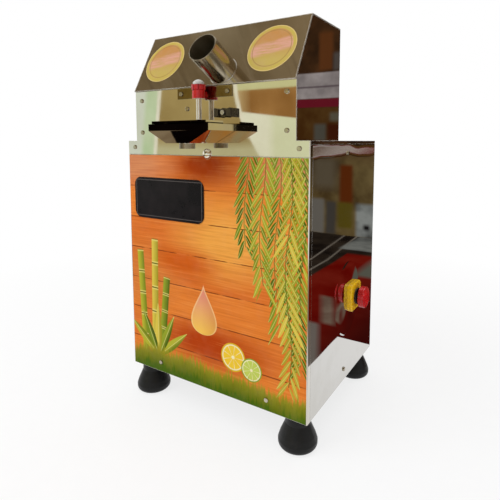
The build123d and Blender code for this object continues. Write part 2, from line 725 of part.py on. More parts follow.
def deck_plate():
    """Top sheet of the cabinet, lipped at the sides and the back, with slots for the crusher."""
    zs = (DECK_Z - SHEET, DECK_Z)
    lip_zs = (DECK_Z - DECK_LIP, DECK_Z)
    deck = block((-SIDE_X, SIDE_X), (INNER_FRONT_Y, BACK_Y), zs)
    for side in (-1, 1):
        lip_xs = sorted((side * SIDE_X, side * (SIDE_X - SHEET)))
        deck += block(lip_xs, (INNER_FRONT_Y, BACK_Y), lip_zs)
    deck += block((-SIDE_X, SIDE_X), (BACK_Y - SHEET, BACK_Y), lip_zs)
    slot_ys = (CHEEK_YS[0] - SEAM, max(CHEEK_YS[1], IDLER_YZ[0] + GEAR_OUTER_R + GEAR_MODULE * 2) + SEAM)
    deck -= block((GEAR_XS[0] - GEAR_GAP, CHEEK_LEFT_XS[1] + SEAM), slot_ys, zs)
    deck -= block((CHEEK_RIGHT_XS[0] - SEAM, CHEEK_RIGHT_XS[1] + SEAM), slot_ys, zs)
    return deck


def folded_front(shape, zs):
    """Front sheet with its two side edges folded back round the corner."""
    for side in (-1, 1):
        xs = sorted((side * SIDE_X, side * (SIDE_X - SHEET)))
        shape += block(xs, (FRONT_Y, FRONT_Y + COVER_FOLD), zs)
    corners = shape.edges().filter_by(Axis.Z).filter_by_position(Axis.Y, FRONT_Y - SEAM, FRONT_Y + SEAM)
    corners = [edge for edge in corners if abs(abs(edge.center().X) - SIDE_X) < COVER_FOLD_R]
    return fillet(corners, COVER_FOLD_R)


def front_cover():
    """Front sheet that carries the print."""
    zs = (BODY_Z, COVER_TOP_Z)
    sheet = folded_front(block((-SIDE_X, SIDE_X), (FRONT_Y, FRONT_Y + SHEET), zs), zs)
    return sheet - screw_holes(COVER_SCREWS, (FRONT_Y - SHEET, INNER_FRONT_Y))


def front_graphic():
    """Printed film on the front cover, cut round the dome bolt and the lower screws."""
    xs = (-SIDE_X + FILM_MARGIN, SIDE_X - FILM_MARGIN)
    film = block(xs, (FILM_Y, FRONT_Y), (BODY_Z + SEAM, COVER_TOP_Z - SEAM))
    film -= bar_y((FILM_Y, FRONT_Y), 0, DOME_Z, DOME_R + SEAM)
    return film - screw_holes(COVER_SCREWS, (FILM_Y, FRONT_Y))


def name_plate():
    """Blank black plate with round corners on the print."""
    plate = extrude(RectangleRounded(NAME_W, NAME_H, NAME_R), NAME_T)
    return placed(plate, (NAME_X, FILM_Y, BODY_Z + NAME_Z), (0, -1, 0))


def cover_bolt():
    """Dome-head bolt whose head laps over the top edge of the front cover."""
    bolt = dome(DOME_R, DOME_H) + Pos(0, 0, -SCREW_LEN) * Cylinder(DOME_SHANK_R, SCREW_LEN, align=ON_BASE)
    return placed(bolt, (0, FRONT_Y, DOME_Z), (0, -1, 0))


def panel_screws():
    """All the small pan-head screws of the sheets."""
    into = (0, 1, 0)
    screws = [pan_screw((x, FRONT_Y, z), into) for x, z in PLATE_SCREWS + [SCRAPER_SCREW]]
    screws += [pan_screw((x, FILM_Y, z), into) for x, z in COVER_SCREWS]
    screws += [pan_screw((x, FRONT_Y - TAP_PLATE_T, z), into) for x, z in TAP_PLATE_SCREWS]
    for side in (-1, 1):
        screws += [pan_screw((side * SIDE_X, y, z), (-side, 0, 0)) for y, z in SIDE_SCREWS]
    return screws


# Head pieces

def front_plate():
    """T-shaped polished sheet: the strip above the print and the front wall of the head."""
    outline = [(-SIDE_X, PLATE_LOW_Z), (SIDE_X, PLATE_LOW_Z), (SIDE_X, DECK_Z), (HEAD_X, DECK_Z),
               (HEAD_X, PLATE_TOP_Z), (-HEAD_X, PLATE_TOP_Z), (-HEAD_X, DECK_Z), (-SIDE_X, DECK_Z)]
    ys = (FRONT_Y, FRONT_Y + SHEET)
    sheet = folded_front(prism_y(outline, ys), (PLATE_LOW_Z, PANEL_TOP_Z))
    hole_ys = (FRONT_Y - SHEET, INNER_FRONT_Y)
    sheet -= screw_holes(PLATE_SCREWS + TAP_PLATE_SCREWS + [SCRAPER_SCREW], hole_ys)
    sheet -= bar_y(hole_ys, 0, DOME_Z, DOME_SHANK_R + SCREW_CLEAR)
    sheet -= bar_y(hole_ys, TAP_X, TAP_Z, TAP_TAIL_R + HOLE_CLEAR)
    sheet -= bar_y(hole_ys, WING_X, WING_Z, WING_STUD_R + HOLE_CLEAR)
    for x in ROD_XS:
        sheet -= bar_y(hole_ys, x, ROD_Z, ROD_R + HOLE_CLEAR)
    y, z = slope_point(TUBE_UP, -TUBE_IN)
    sheet -= bar((TUBE_X, y, z), SLOPE_OUT, TUBE_IN + TUBE_OUT, TUBE_R + WELD_GAP)
    mouth_xs = (LIP_XS[0] - LIP_CLEAR, LIP_XS[1] + LIP_CLEAR)
    mouth_zs = (PAN_FLOOR_Z - LIP_CLEAR, PAN_FLOOR_Z + LIP_H + LIP_CLEAR)
    return sheet - block(mouth_xs, hole_ys, mouth_zs)


def hood():
    """Bent sheet: the sloped face and the flat top of the head."""
    top_inner = HEAD_TOP_Z - SHEET
    outline = [slope_point(-HOOD_LIP), slope_point(SLOPE_LEN), (HEAD_BACK_Y, HEAD_TOP_Z), (HEAD_BACK_Y, top_inner),
               (slope_y(top_inner, SHEET), top_inner), slope_point(-HOOD_LIP, -SHEET)]
    sheet = prism_x(outline, (-HEAD_X, HEAD_X))
    y, z = slope_point(TUBE_UP, -HOLE_REACH)
    return sheet - bar((TUBE_X, y, z), SLOPE_OUT, HOLE_REACH * 2, TUBE_R + WELD_GAP)


def head_side(side):
    """Side sheet of the head with flanges for the front plate and the deck."""
    inset = SHEET + SEAT_GAP
    top = HEAD_TOP_Z - inset
    low = DECK_Z + SEAT_GAP
    outline = [(INNER_FRONT_Y, low), (HEAD_BACK_Y, low), (HEAD_BACK_Y, top), (slope_y(top, inset), top),
               (INNER_FRONT_Y, slope_z(INNER_FRONT_Y, inset))]
    sheet = prism_x(outline, sorted((side * HEAD_X, side * (HEAD_X - SHEET))))
    flange_xs = sorted((side * HEAD_X, side * (HEAD_X - HEAD_FLANGE)))
    sheet += block(flange_xs, (INNER_FRONT_Y, INNER_FRONT_Y + SHEET), (low, PLATE_TOP_Z - SHEET))
    sheet += block(flange_xs, (INNER_FRONT_Y, HEAD_BACK_Y - HEAD_FLANGE), (low, low + SHEET))
    return sheet - screw_holes(PLATE_SCREWS, (FRONT_Y, INNER_FRONT_Y + SHEET * 2))


def head_side_left():
    """Left side sheet of the head."""
    return head_side(-1)


def head_side_right():
    """Right side sheet of the head."""
    return head_side(1)


def head_back():
    """Rear sheet of the head with the opening for the pressed cane."""
    edge_x = HEAD_X - SHEET - SEAT_GAP
    ys = (HEAD_BACK_Y - SHEET, HEAD_BACK_Y)
    sheet = block((-edge_x, edge_x), ys, (DECK_Z + SEAT_GAP, HEAD_TOP_Z - SHEET - SEAT_GAP))
    sheet -= block(CHANNEL_XS, ys, (chute_z(HEAD_BACK_Y) - OUTLET_SILL, DECK_Z + OUTLET_TOP_H))
    return sheet - bar_y(ys, HOSE_X, TAP_Z, TAP_TAIL_R + HOLE_CLEAR)


def sticker(x):
    """Round sticker on the slope."""
    y, z = slope_point(STICKER_UP)
    return bar((x, y, z), SLOPE_OUT, STICKER_T, STICKER_R)


def hood_stickers():
    """The two round stickers on the slope."""
    return [sticker(x) for x in STICKER_XS]


def feed_tube():
    """Polished tube that guides the cane into the rollers."""
    y, z = slope_point(TUBE_UP, -TUBE_IN)
    length = TUBE_IN + TUBE_OUT
    tube = Cylinder(TUBE_R, length, align=ON_BASE) - Cylinder(TUBE_R - TUBE_WALL, length, align=ON_BASE)
    return placed(tube, (TUBE_X, y, z), SLOPE_OUT)


# Crusher pieces

def crusher_cheek(xs):
    """Thick side plate that carries the roller bushes and the tie rods."""
    y0, y1 = CHEEK_YS
    outline = [(y0, CHEEK_LOW_Z), (y1, CHEEK_LOW_Z), (y1, CHEEK_SHOULDER_Z),
               (TOP_YZ[0] + CHEEK_CROWN, CHEEK_TOP_Z), (TOP_YZ[0] - CHEEK_CROWN, CHEEK_TOP_Z), (y0, CHEEK_SHOULDER_Z)]
    plate = prism_x(outline, xs)
    for centre in (TOP_YZ, FRONT_YZ, REAR_YZ):
        plate -= bar_x(xs, centre, BUSH_R + KEYED_FIT)
    for point in TIE_POINTS:
        plate -= bar_x(xs, point, TIE_SPIGOT_R + SCREW_CLEAR)
    return plate - frame_bolt_holes()


def crusher_cheek_left():
    """Gear-side cheek, which also holds the idler's stub shaft."""
    return crusher_cheek(CHEEK_LEFT_XS) - bar_x(CHEEK_LEFT_XS, IDLER_YZ, JOURNAL_R + KEYED_FIT)


def crusher_cheek_right():
    """Free-side cheek."""
    return crusher_cheek(CHEEK_RIGHT_XS)


def cheek_bolt_starts():
    """Starts and directions of the bolts that hold the cheeks to the beams."""
    starts = []
    for y in CHEEK_BOLT_YS:
        starts.append(((CHEEK_LEFT_XS[0], y, CHEEK_BOLT_Z), (1, 0, 0)))
        starts.append(((CHEEK_RIGHT_XS[1], y, CHEEK_BOLT_Z), (-1, 0, 0)))
    return starts


def gearbox_bolt_starts():
    """Starts and directions of the bolts that hold the gearbox plate to the beams."""
    low = GEARBOX_TOP_Z + SEAT_GAP
    xs = (sum(BEAM_LEFT_XS) / 2, sum(BEAM_RIGHT_XS) / 2)
    ys = (GEARBOX_YS[0] - GEARBOX_BOLT_OVER, GEARBOX_YS[1] + GEARBOX_BOLT_OVER)
    return [((x, y, low), (0, 0, 1)) for x in xs for y in ys]


def frame_bolt_holes():
    """Clearance holes for the crusher and gearbox bolts."""
    radius = FRAME_BOLT_D / 2 + HOLE_CLEAR
    reach = CHEEK_T + SEAT_GAP + ANGLE_T
    return [bar(start, way, reach, radius) for start, way in cheek_bolt_starts() + gearbox_bolt_starts()]


def frame_bolts():
    """Bolts and nuts that hold the cheeks and the gearbox plate to the beams."""
    pieces = []
    for start, way in cheek_bolt_starts():
        pieces += bolt_and_nut(start, way, FRAME_BOLT_D, CHEEK_T + SEAT_GAP + ANGLE_T)
    for start, way in gearbox_bolt_starts():
        pieces += bolt_and_nut(start, way, FRAME_BOLT_D, GEARBOX_PLATE_T + SEAT_GAP + ANGLE_T)
    return pieces


def tie_rods():
    """Shouldered rods that space the cheeks, each with a nut on the free side."""
    pieces = []
    nut_xs = (CHEEK_RIGHT_XS[1], CHEEK_RIGHT_XS[1] + TIE_SPIGOT_R * 2 * HEX_NUT)
    for y, z in TIE_POINTS:
        rod = bar_x(CHANNEL_XS, (y, z), TIE_R)
        rod += bar_x((CHEEK_LEFT_XS[0], nut_xs[1]), (y, z), TIE_SPIGOT_R)
        nut = placed(hex_bar(TIE_SPIGOT_R * 2, nut_xs[1] - nut_xs[0]), (nut_xs[0], y, z), (1, 0, 0))
        pieces += [rod, nut - bar_x(nut_xs, (y, z), TIE_SPIGOT_R + SCREW_CLEAR)]
    return pieces


def roller_bush(xs, flange_xs, centre):
    """Flanged bronze bush, its flange on the roller's side of the cheek."""
    bush = bar_x(xs, centre, BUSH_R) + bar_x(flange_xs, centre, BUSH_FLANGE_R)
    return bush - bar_x((xs[0] - CHEEK_T, xs[1] + CHEEK_T), centre, JOURNAL_R + RUNNING_FIT)


def roller_bushes():
    """Six bushes for the three rollers."""
    bushes = []
    left_flange = (CHANNEL_XS[0], CHANNEL_XS[0] + BUSH_FLANGE_T)
    right_flange = (CHANNEL_XS[1] - BUSH_FLANGE_T, CHANNEL_XS[1])
    for centre in (TOP_YZ, FRONT_YZ, REAR_YZ):
        bushes.append(roller_bush(CHEEK_LEFT_XS, left_flange, centre))
        bushes.append(roller_bush(CHEEK_RIGHT_XS, right_flange, centre))
    return bushes


def roller(centre):
    """Fluted crushing roller turned in one piece with its journals."""
    edges = ribbed_edges(ROLLER_R - FLUTE_DEPTH, ROLLER_R, FLUTES, 0.7)
    body = extrude(face_x(edges, ROLLER_XS[0]), amount=ROLLER_LEN, dir=(1, 0, 0))
    body = Pos(0, centre[0], centre[1]) * body
    return body + bar_x((GEAR_XS[0], CHEEK_RIGHT_XS[1]), centre, JOURNAL_R)


def top_roller():
    """Upper roller."""
    return roller(TOP_YZ)


def front_roller():
    """Lower roller at the feed side."""
    return roller(FRONT_YZ)


def rear_roller():
    """Lower roller at the discharge side."""
    return roller(REAR_YZ)


def top_roller_gear():
    """Gear keyed to the upper roller."""
    return gear(ROLLER_TEETH, TOP_PHASE, TOP_YZ, JOURNAL_R + KEYED_FIT)


def front_roller_gear():
    """Gear keyed to the front roller."""
    return gear(ROLLER_TEETH, FRONT_PHASE, FRONT_YZ, JOURNAL_R + KEYED_FIT)


def rear_roller_gear():
    """Gear keyed to the rear roller."""
    return gear(ROLLER_TEETH, REAR_PHASE, REAR_YZ, JOURNAL_R + KEYED_FIT)


def idler_gear():
    """Loose gear between the drive pinion and the rear roller."""
    return gear(IDLER_TEETH, IDLER_PHASE, IDLER_YZ, JOURNAL_R + RUNNING_FIT)


def idler_shaft():
    """Stub shaft of the idler, with a shoulder at the cheek and a washer at its free end."""
    shaft = bar_x((GEAR_XS[0] - GEAR_GAP, CHEEK_LEFT_XS[1]), IDLER_YZ, JOURNAL_R)
    shaft += bar_x((GEAR_XS[1] + SEAM, CHEEK_LEFT_XS[0]), IDLER_YZ, BUSH_FLANGE_R)
    return shaft + bar_x((GEAR_XS[0] - GEAR_GAP, GEAR_XS[0] - SEAM), IDLER_YZ, BUSH_FLANGE_R)


def drive_pinion():
    """Pinion keyed to the gear motor's output shaft."""
    return gear(PINION_TEETH, PINION_PHASE, PINION_YZ, OUTPUT_R + KEYED_FIT)


def output_shaft():
    """Output shaft of the gear motor."""
    return bar_x((GEAR_XS[0], GEARBOX_XS[1]), PINION_YZ, OUTPUT_R)


def trash_plate():
    """Bar hollowed to the three rollers, which turns the cane from the first nip to the second."""
    y = TOP_YZ[0]
    zs = (FRONT_YZ[1] - TRASH_DROP, TOP_YZ[1] - ROLLER_R)
    plate = block(CHANNEL_XS, (y - TRASH_HALF, y + TRASH_HALF), zs)
    for centre in (TOP_YZ, FRONT_YZ, REAR_YZ):
        plate -= bar_x(CHANNEL_XS, centre, ROLLER_R + SCRAPE_GAP)
    return plate


def front_scraper():
    """Blade that cleans the front roller, on a bar held by the wing knob's stud."""
    bar_ys = (INNER_FRONT_Y, INNER_FRONT_Y + SCRAPER_BAR_T)
    bar_xs = (SCRAPER_SCREW_X - SCREW_LEN, ROLLER_XS[1])
    bar_zs = (WING_Z - SCRAPER_BAR_LOW, WING_Z + SCRAPER_BAR_HIGH)
    blade_zs = (WING_Z - SCRAPER_T / 2, WING_Z + SCRAPER_T / 2)
    rise = FRONT_YZ[1] - blade_zs[1]
    tip_y = FRONT_YZ[0] - math.sqrt((ROLLER_R + SCRAPE_GAP) ** 2 - rise ** 2)
    scraper = block(bar_xs, bar_ys, bar_zs)
    scraper += block(ROLLER_XS, (bar_ys[1], tip_y), blade_zs)
    scraper -= bar_y((FRONT_Y, bar_ys[1]), *SCRAPER_SCREW, SCREW_R + SCREW_CLEAR)
    return scraper + bar_y((FRONT_Y - WING_OUT, bar_ys[0]), WING_X, WING_Z, WING_STUD_R)


def bow_tie(width, height, waist, knot):
    """Outline of a two-winged nut, wide at its tips and narrow at its middle."""
    tip = width / 2
    half = [(tip, height / 2), (knot, waist / 2), (-knot, waist / 2), (-tip, height / 2)]
    return half + [(x, -y) for x, y in reversed(half)]

def wing_knob():
    """Winged knob on the scraper's stud."""
    wings = extrude(make_face(Polyline(*bow_tie(WING_W, WING_T, WING_WAIST, WING_KNOT), close=True)), WING_OUT)
    wings = fillet(wings.edges().filter_by(Axis.Z), WING_CORNER_R)
    dip = Pos(0, 0, WING_OUT) * Rot(90, 0, 0) * Cylinder(WING_DIP_R, WING_T * 2)
    knob = wings - dip + Cylinder(WING_HUB_R, WING_HUB_H, align=ON_BASE)
    knob = placed(knob, (WING_X, FRONT_Y - SEAT_GAP, WING_Z), (0, -1, 0))
    return knob - bar_y((FRONT_Y - WING_OUT * 2, FRONT_Y), WING_X, WING_Z, WING_STUD_R + TURN_FIT)


# Gear motor pieces

def gearbox_plate():
    """Steel plate under the beams that the gearbox hangs from."""
    low = GEARBOX_TOP_Z + SEAT_GAP
    xs = (CHANNEL_XS[0] + SEAT_GAP, CHANNEL_XS[1] - SEAT_GAP)
    ys = (GEARBOX_YS[0] - GEARBOX_PLATE_OVER, GEARBOX_YS[1] + GEARBOX_PLATE_OVER)
    plate = block(xs, ys, (low, low + GEARBOX_PLATE_T))
    return plate - frame_bolt_holes()


def gearbox_housing():
    """Cast worm gearbox with round covers over the output bearings."""
    body = block(GEARBOX_XS, GEARBOX_YS, (GEARBOX_LOW_Z, GEARBOX_TOP_Z))
    body = fillet(body.edges().filter_by(Axis.Z), GEARBOX_R)
    cover_r = GEARBOX_TOP_Z - PINION_YZ[1] - SEAM
    cover_xs = (GEARBOX_XS[0] - GEARBOX_PLATE_T, GEARBOX_XS[1] + GEARBOX_PLATE_T)
    body += bar_x(cover_xs, PINION_YZ, cover_r)
    return body - bar_x((cover_xs[0], GEARBOX_XS[1]), PINION_YZ, OUTPUT_R + SHAFT_GAP)


def motor_body():
    """Finned motor frame with its mounting flange, hung below the gearbox."""
    frame_zs = (MOTOR_LOW_Z, MOTOR_TOP_Z - MOTOR_FLANGE_T)
    fins = extrude(make_face(ribbed_edges(MOTOR_R, MOTOR_OUTER_R, MOTOR_FINS, 0.4)), MOTOR_LEN)
    body = Pos(TUBE_X, MOTOR_Y, frame_zs[0]) * fins
    body += bar_z((frame_zs[1], MOTOR_TOP_Z), TUBE_X, MOTOR_Y, MOTOR_FLANGE_R)
    pad_xs = (TUBE_X, TUBE_X + MOTOR_OUTER_R + SEAT_GAP)
    pad_ys = (MOTOR_Y - TERMINAL_W / 2, MOTOR_Y + TERMINAL_W / 2)
    return body + block(pad_xs, pad_ys, terminal_zs())


def terminal_zs():
    """Height span of the terminal box."""
    middle = (MOTOR_LOW_Z + MOTOR_TOP_Z) / 2
    return (middle - TERMINAL_H / 2, middle + TERMINAL_H / 2)


def terminal_box():
    """Connection box on the side of the motor."""
    low_x = TUBE_X + MOTOR_OUTER_R + SEAT_GAP
    ys = (MOTOR_Y - TERMINAL_W / 2, MOTOR_Y + TERMINAL_W / 2)
    box = block((low_x, low_x + TERMINAL_D), ys, terminal_zs())
    return fillet(box.edges().filter_by(Axis.X), GEARBOX_R / 2)


def fan_cowl():
    """Cowl over the motor's fan, with slots in its end."""
    zs = (MOTOR_LOW_Z - SEAT_GAP - COWL_LEN, MOTOR_LOW_Z - SEAT_GAP)
    cowl = bar_z(zs, TUBE_X, MOTOR_Y, MOTOR_OUTER_R)
    cowl -= bar_z((zs[0] + SHEET, zs[1]), TUBE_X, MOTOR_Y, MOTOR_OUTER_R - SHEET)
    for slot in range(-2, 3):
        x = TUBE_X + slot * VENT_PITCH
        cowl -= block((x - VENT_H / 2, x + VENT_H / 2), (MOTOR_Y - MOTOR_R / 2, MOTOR_Y + MOTOR_R / 2),
                      (zs[0], zs[0] + SHEET))
    return cowl


# Juice and waste pieces

def juice_pan():
    """Sloped pan under the rollers, standing on its side skirts, with a lip through the front plate."""
    xs = (CHANNEL_XS[0] + ROLLER_END_GAP / 2, CHANNEL_XS[1] - ROLLER_END_GAP / 2)
    top = PAN_TOP_Z
    back_z = PAN_FLOOR_Z + PAN_FALL
    body = block(xs, PAN_YS, (DECK_Z + SEAT_GAP, top))
    inner_xs = (xs[0] + PAN_SHEET, xs[1] - PAN_SHEET)
    inner_ys = (PAN_YS[0] + PAN_SHEET, PAN_YS[1] - PAN_SHEET)
    above = [(inner_ys[0], PAN_FLOOR_Z + PAN_SHEET), (inner_ys[1], back_z + PAN_SHEET),
             (inner_ys[1], top), (inner_ys[0], top)]
    below = [(PAN_YS[0], DECK_Z), (PAN_YS[1], DECK_Z), (PAN_YS[1], back_z), (PAN_YS[0], PAN_FLOOR_Z)]
    body -= prism_x(above, inner_xs)
    body -= prism_x(below, inner_xs)
    lip_ys = (LIP_END_Y, inner_ys[0])
    body += block(LIP_XS, (LIP_END_Y, PAN_YS[0]), (PAN_FLOOR_Z, PAN_FLOOR_Z + LIP_H))
    body -= block((LIP_XS[0] + PAN_SHEET, LIP_XS[1] - PAN_SHEET), lip_ys, (PAN_FLOOR_Z + PAN_SHEET, top))
    return body


def tray_half_width(z, inset):
    """Half width of the tray's sloped sides at a height, moved inwards by an inset."""
    return TRAY_FLOOR_W / 2 + (z - TRAY_LOW_Z) / math.tan(TRAY_PITCH) - inset / math.sin(TRAY_PITCH)


def trough_outline(low, edge, inset, top):
    """Trough section from a floor height up to a top: sloped sides, then upright ones at an edge."""
    foot = tray_half_width(low, inset)
    knee_z = low + (edge - foot) * math.tan(TRAY_PITCH)
    half = [(foot, low), (edge, knee_z), (edge, top)]
    other = [(-x, z) for x, z in reversed(half)]
    return [(TRAY_X + x, z) for x, z in half + other]


def tray_outline(inset):
    """Outline of the tray's sheet, moved inwards by an inset."""
    return trough_outline(TRAY_LOW_Z + inset, TRAY_OUTER_X - inset, inset, TRAY_TOP_Z)

def juice_tray():
    """Removable trough whose folded rim hooks over two rods, with an outlet pipe below."""
    ys = (TRAY_FRONT_Y, TRAY_BACK_Y)
    inner_ys = (ys[0] + TRAY_SHEET, ys[1] - TRAY_SHEET)
    body = prism_y(tray_outline(0), ys)
    body -= prism_y(tray_outline(TRAY_SHEET), inner_ys)
    for side in (-1, 1):
        rim_xs = sorted(TRAY_X + side * x for x in (TRAY_INNER_X, TRAY_OUTER_X))
        fold_xs = sorted(TRAY_X + side * x for x in (TRAY_INNER_X, TRAY_INNER_X + TRAY_SHEET))
        body += block(rim_xs, ys, (TRAY_TOP_Z - TRAY_SHEET, TRAY_TOP_Z))
        body += block(fold_xs, ys, (TRAY_TOP_Z - TRAY_FOLD_H, TRAY_TOP_Z))
    for x in ROD_XS:
        body -= bar_y((inner_ys[1], ys[1]), x, ROD_Z, ROD_R + ROD_CLEAR)
    notch_zs = (PAN_FLOOR_Z - LIP_CLEAR, TRAY_TOP_Z)
    body -= block((LIP_XS[0] - LIP_CLEAR, LIP_XS[1] + LIP_CLEAR), (inner_ys[1], ys[1]), notch_zs)
    pipe_zs = (TRAY_LOW_Z - OUTLET_LEN, TRAY_LOW_Z + TRAY_SHEET / 2)
    body += bar_z(pipe_zs, TRAY_X, OUTLET_Y, OUTLET_R)
    return body - bar_z((pipe_zs[0], TRAY_LOW_Z + TRAY_SHEET), TRAY_X, OUTLET_Y, OUTLET_R - OUTLET_WALL)

def tray_rods():
    """Two rods that carry the tray, nutted behind the front plate."""
    pieces = []
    nut_ys = (INNER_FRONT_Y, INNER_FRONT_Y + ROD_R * 2 * HEX_NUT)
    for x in ROD_XS:
        rod = bar_y((TRAY_FRONT_Y + ROD_END_GAP, nut_ys[1] + ROD_R), x, ROD_Z, ROD_R)
        nut = placed(hex_bar(ROD_R * 2, nut_ys[1] - nut_ys[0]), (x, nut_ys[0], ROD_Z), (0, 1, 0))
        pieces += [rod, nut - bar_y(nut_ys, x, ROD_Z, ROD_R + SCREW_CLEAR)]
    return pieces

def strainer_holes(ys):
    """Rows of round holes through the strainer's floor."""
    half = tray_half_width(STRAINER_Z, TRAY_SHEET)
    columns = int((half * 2 - STRAINER_PITCH * 2) / STRAINER_PITCH)
    rows = int((ys[1] - ys[0] - STRAINER_PITCH * 2) / STRAINER_PITCH)
    middle_y = (ys[0] + ys[1]) / 2
    holes = []
    for column in range(columns + 1):
        for row in range(rows + 1):
            x = TRAY_X + (column - columns / 2) * STRAINER_PITCH
            y = middle_y + (row - rows / 2) * STRAINER_PITCH
            holes.append(bar_z((STRAINER_Z - TRAY_SHEET, STRAINER_Z + TRAY_SHEET * 2), x, y, STRAINER_HOLE_R))
    return holes


def strainer():
    """Perforated scoop that hangs by its rim in the tray and is open towards the juice lip."""
    ys = (TRAY_FRONT_Y + TRAY_SHEET + STRAINER_CLEAR, LIP_END_Y - STRAINER_LIP_GAP)
    inner_ys = (ys[0] + TRAY_SHEET, ys[1])
    edge = TRAY_INNER_X - STRAINER_CLEAR
    rim_z = TRAY_TOP_Z + SEAT_GAP
    top = rim_z + TRAY_SHEET
    outer = trough_outline(STRAINER_Z, edge, TRAY_SHEET + STRAINER_CLEAR, top)
    inner = trough_outline(STRAINER_Z + TRAY_SHEET, edge - TRAY_SHEET, TRAY_SHEET * 2 + STRAINER_CLEAR, top)
    scoop = prism_y(outer, ys) - prism_y(inner, inner_ys)
    for side in (-1, 1):
        rim_xs = sorted(TRAY_X + side * x for x in (edge, edge + STRAINER_RIM_W))
        wall_xs = sorted(TRAY_X + side * x for x in (edge + STRAINER_RIM_W - TRAY_SHEET, edge + STRAINER_RIM_W))
        scoop += block(rim_xs, ys, (rim_z, top))
        scoop += block(wall_xs, ys, (rim_z, rim_z + STRAINER_RIM_H))
    front_xs = (TRAY_X - edge - STRAINER_RIM_W, TRAY_X + edge + STRAINER_RIM_W)
    scoop += block(front_xs, (ys[0], ys[0] + TRAY_SHEET), (rim_z, rim_z + STRAINER_RIM_H))
    return scoop - strainer_holes(ys)


CHUTE_START = (REAR_YZ[0] + ROLLER_R + SCRAPE_GAP, REAR_YZ[1] + CHUTE_SHEET * 2)
CHUTE_END = (BACK_Y - CHUTE_END_GAP, DECK_Z + CHUTE_END_H)


def chute_z(y):
    """Height of the chute's floor at a depth."""
    fall = (CHUTE_END[1] - CHUTE_START[1]) / (CHUTE_END[0] - CHUTE_START[0])
    return CHUTE_START[1] + (y - CHUTE_START[0]) * fall


def bagasse_chute():
    """Sloped channel that scrapes the rear roller and leads the pressed cane out at the back."""
    xs = (CHANNEL_XS[0] + ROLLER_END_GAP, CHANNEL_XS[1] - ROLLER_END_GAP)
    floor = [CHUTE_START, CHUTE_END, (CHUTE_END[0], CHUTE_END[1] - CHUTE_SHEET),
             (CHUTE_START[0] + CHUTE_SHEET, CHUTE_START[1] - CHUTE_SHEET)]
    chute = prism_x(floor, xs)
    wall_start = CHEEK_YS[1] - CHUTE_SHEET
    wall = [(wall_start, chute_z(wall_start) - CHUTE_SHEET / 2), (CHUTE_END[0], CHUTE_END[1] - CHUTE_SHEET / 2),
            (CHUTE_END[0], CHUTE_END[1] + CHUTE_WALL_H), (wall_start, chute_z(wall_start) + CHUTE_WALL_H)]
    chute += prism_x(wall, (xs[0], xs[0] + CHUTE_SHEET))
    chute += prism_x(wall, (xs[1] - CHUTE_SHEET, xs[1]))
    flange_ys = (HEAD_BACK_Y + SEAT_GAP, HEAD_BACK_Y + SEAT_GAP + CHUTE_SHEET)
    flange_top = chute_z(flange_ys[1]) - CHUTE_SHEET / 2
    chute += block(xs, flange_ys, (flange_top - CHUTE_WALL_H, flange_top))
    foot_ys = (CHUTE_END[0] - CHUTE_SHEET, CHUTE_END[0])
    return chute + block(xs, foot_ys, (DECK_Z + SEAT_GAP, CHUTE_END[1] - CHUTE_SHEET / 2))


# Rinse tap pieces

def tap_plate():
    """Backing plate of the tap, under the edge of the hood."""
    zs = (TAP_PLATE_TOP_Z - TAP_PLATE_H, TAP_PLATE_TOP_Z)
    plate = block(TAP_PLATE_XS, (FRONT_Y - TAP_PLATE_T, FRONT_Y), zs)
    plate -= screw_holes(TAP_PLATE_SCREWS, (FRONT_Y - TAP_PLATE_T, FRONT_Y))
    return plate - bar_y((FRONT_Y - TAP_PLATE_T, FRONT_Y), TAP_X, TAP_Z, TAP_TAIL_R + HOLE_CLEAR)


def tap_body():
    """Small angle tap: tail through the wall, hose elbow inside, spout down to the tray."""
    low = TAP_Z - TAP_BODY_H / 2
    high = TAP_Z + TAP_BODY_H / 2
    elbow_xs = (TAP_X - TAP_ELBOW_R, TAP_X + TAP_ELBOW_R)
    elbow_ys = (HOSE_Y - TAP_ELBOW_R, HOSE_Y + TAP_ELBOW_R)
    flange_ys = (FRONT_Y - TAP_PLATE_T * 2, FRONT_Y - TAP_PLATE_T)
    body = bar_z((low, high), TAP_X, TAP_Y, TAP_BODY_R)
    body += bar_y((TAP_Y, HOSE_Y), TAP_X, TAP_Z, TAP_TAIL_R)
    body += bar_y(flange_ys, TAP_X, TAP_Z, TAP_ELBOW_R)
    body += bar_z((TRAY_TOP_Z + TAP_END_CLEAR, low), TAP_X, TAP_Y, TAP_SPOUT_R)
    body += bar_z((high, high + TAP_STEM_H), TAP_X, TAP_Y, WING_STUD_R)
    body += block(elbow_xs, elbow_ys, (TAP_Z - TAP_ELBOW_R, TAP_Z + TAP_ELBOW_R))
    body += bar_x((elbow_xs[0] - BARB_LEN, TAP_X), (HOSE_Y, TAP_Z), HOSE_BORE_R - RUNNING_FIT)
    return body - bar_z((TRAY_TOP_Z, TAP_Z), TAP_X, TAP_Y, TAP_BORE_R)


def tap_cap():
    """Bright domed cap over the middle of the tap's handle."""
    low = TAP_Z + TAP_BODY_H / 2 + TAP_HANDLE_H + SEAT_GAP * 2
    cap = Cylinder(TAP_CAP_R, TAP_CAP_RIM, align=ON_BASE) + Pos(0, 0, TAP_CAP_RIM) * dome(TAP_CAP_R, TAP_CAP_DOME)
    return Pos(TAP_X, TAP_Y, low) * cap


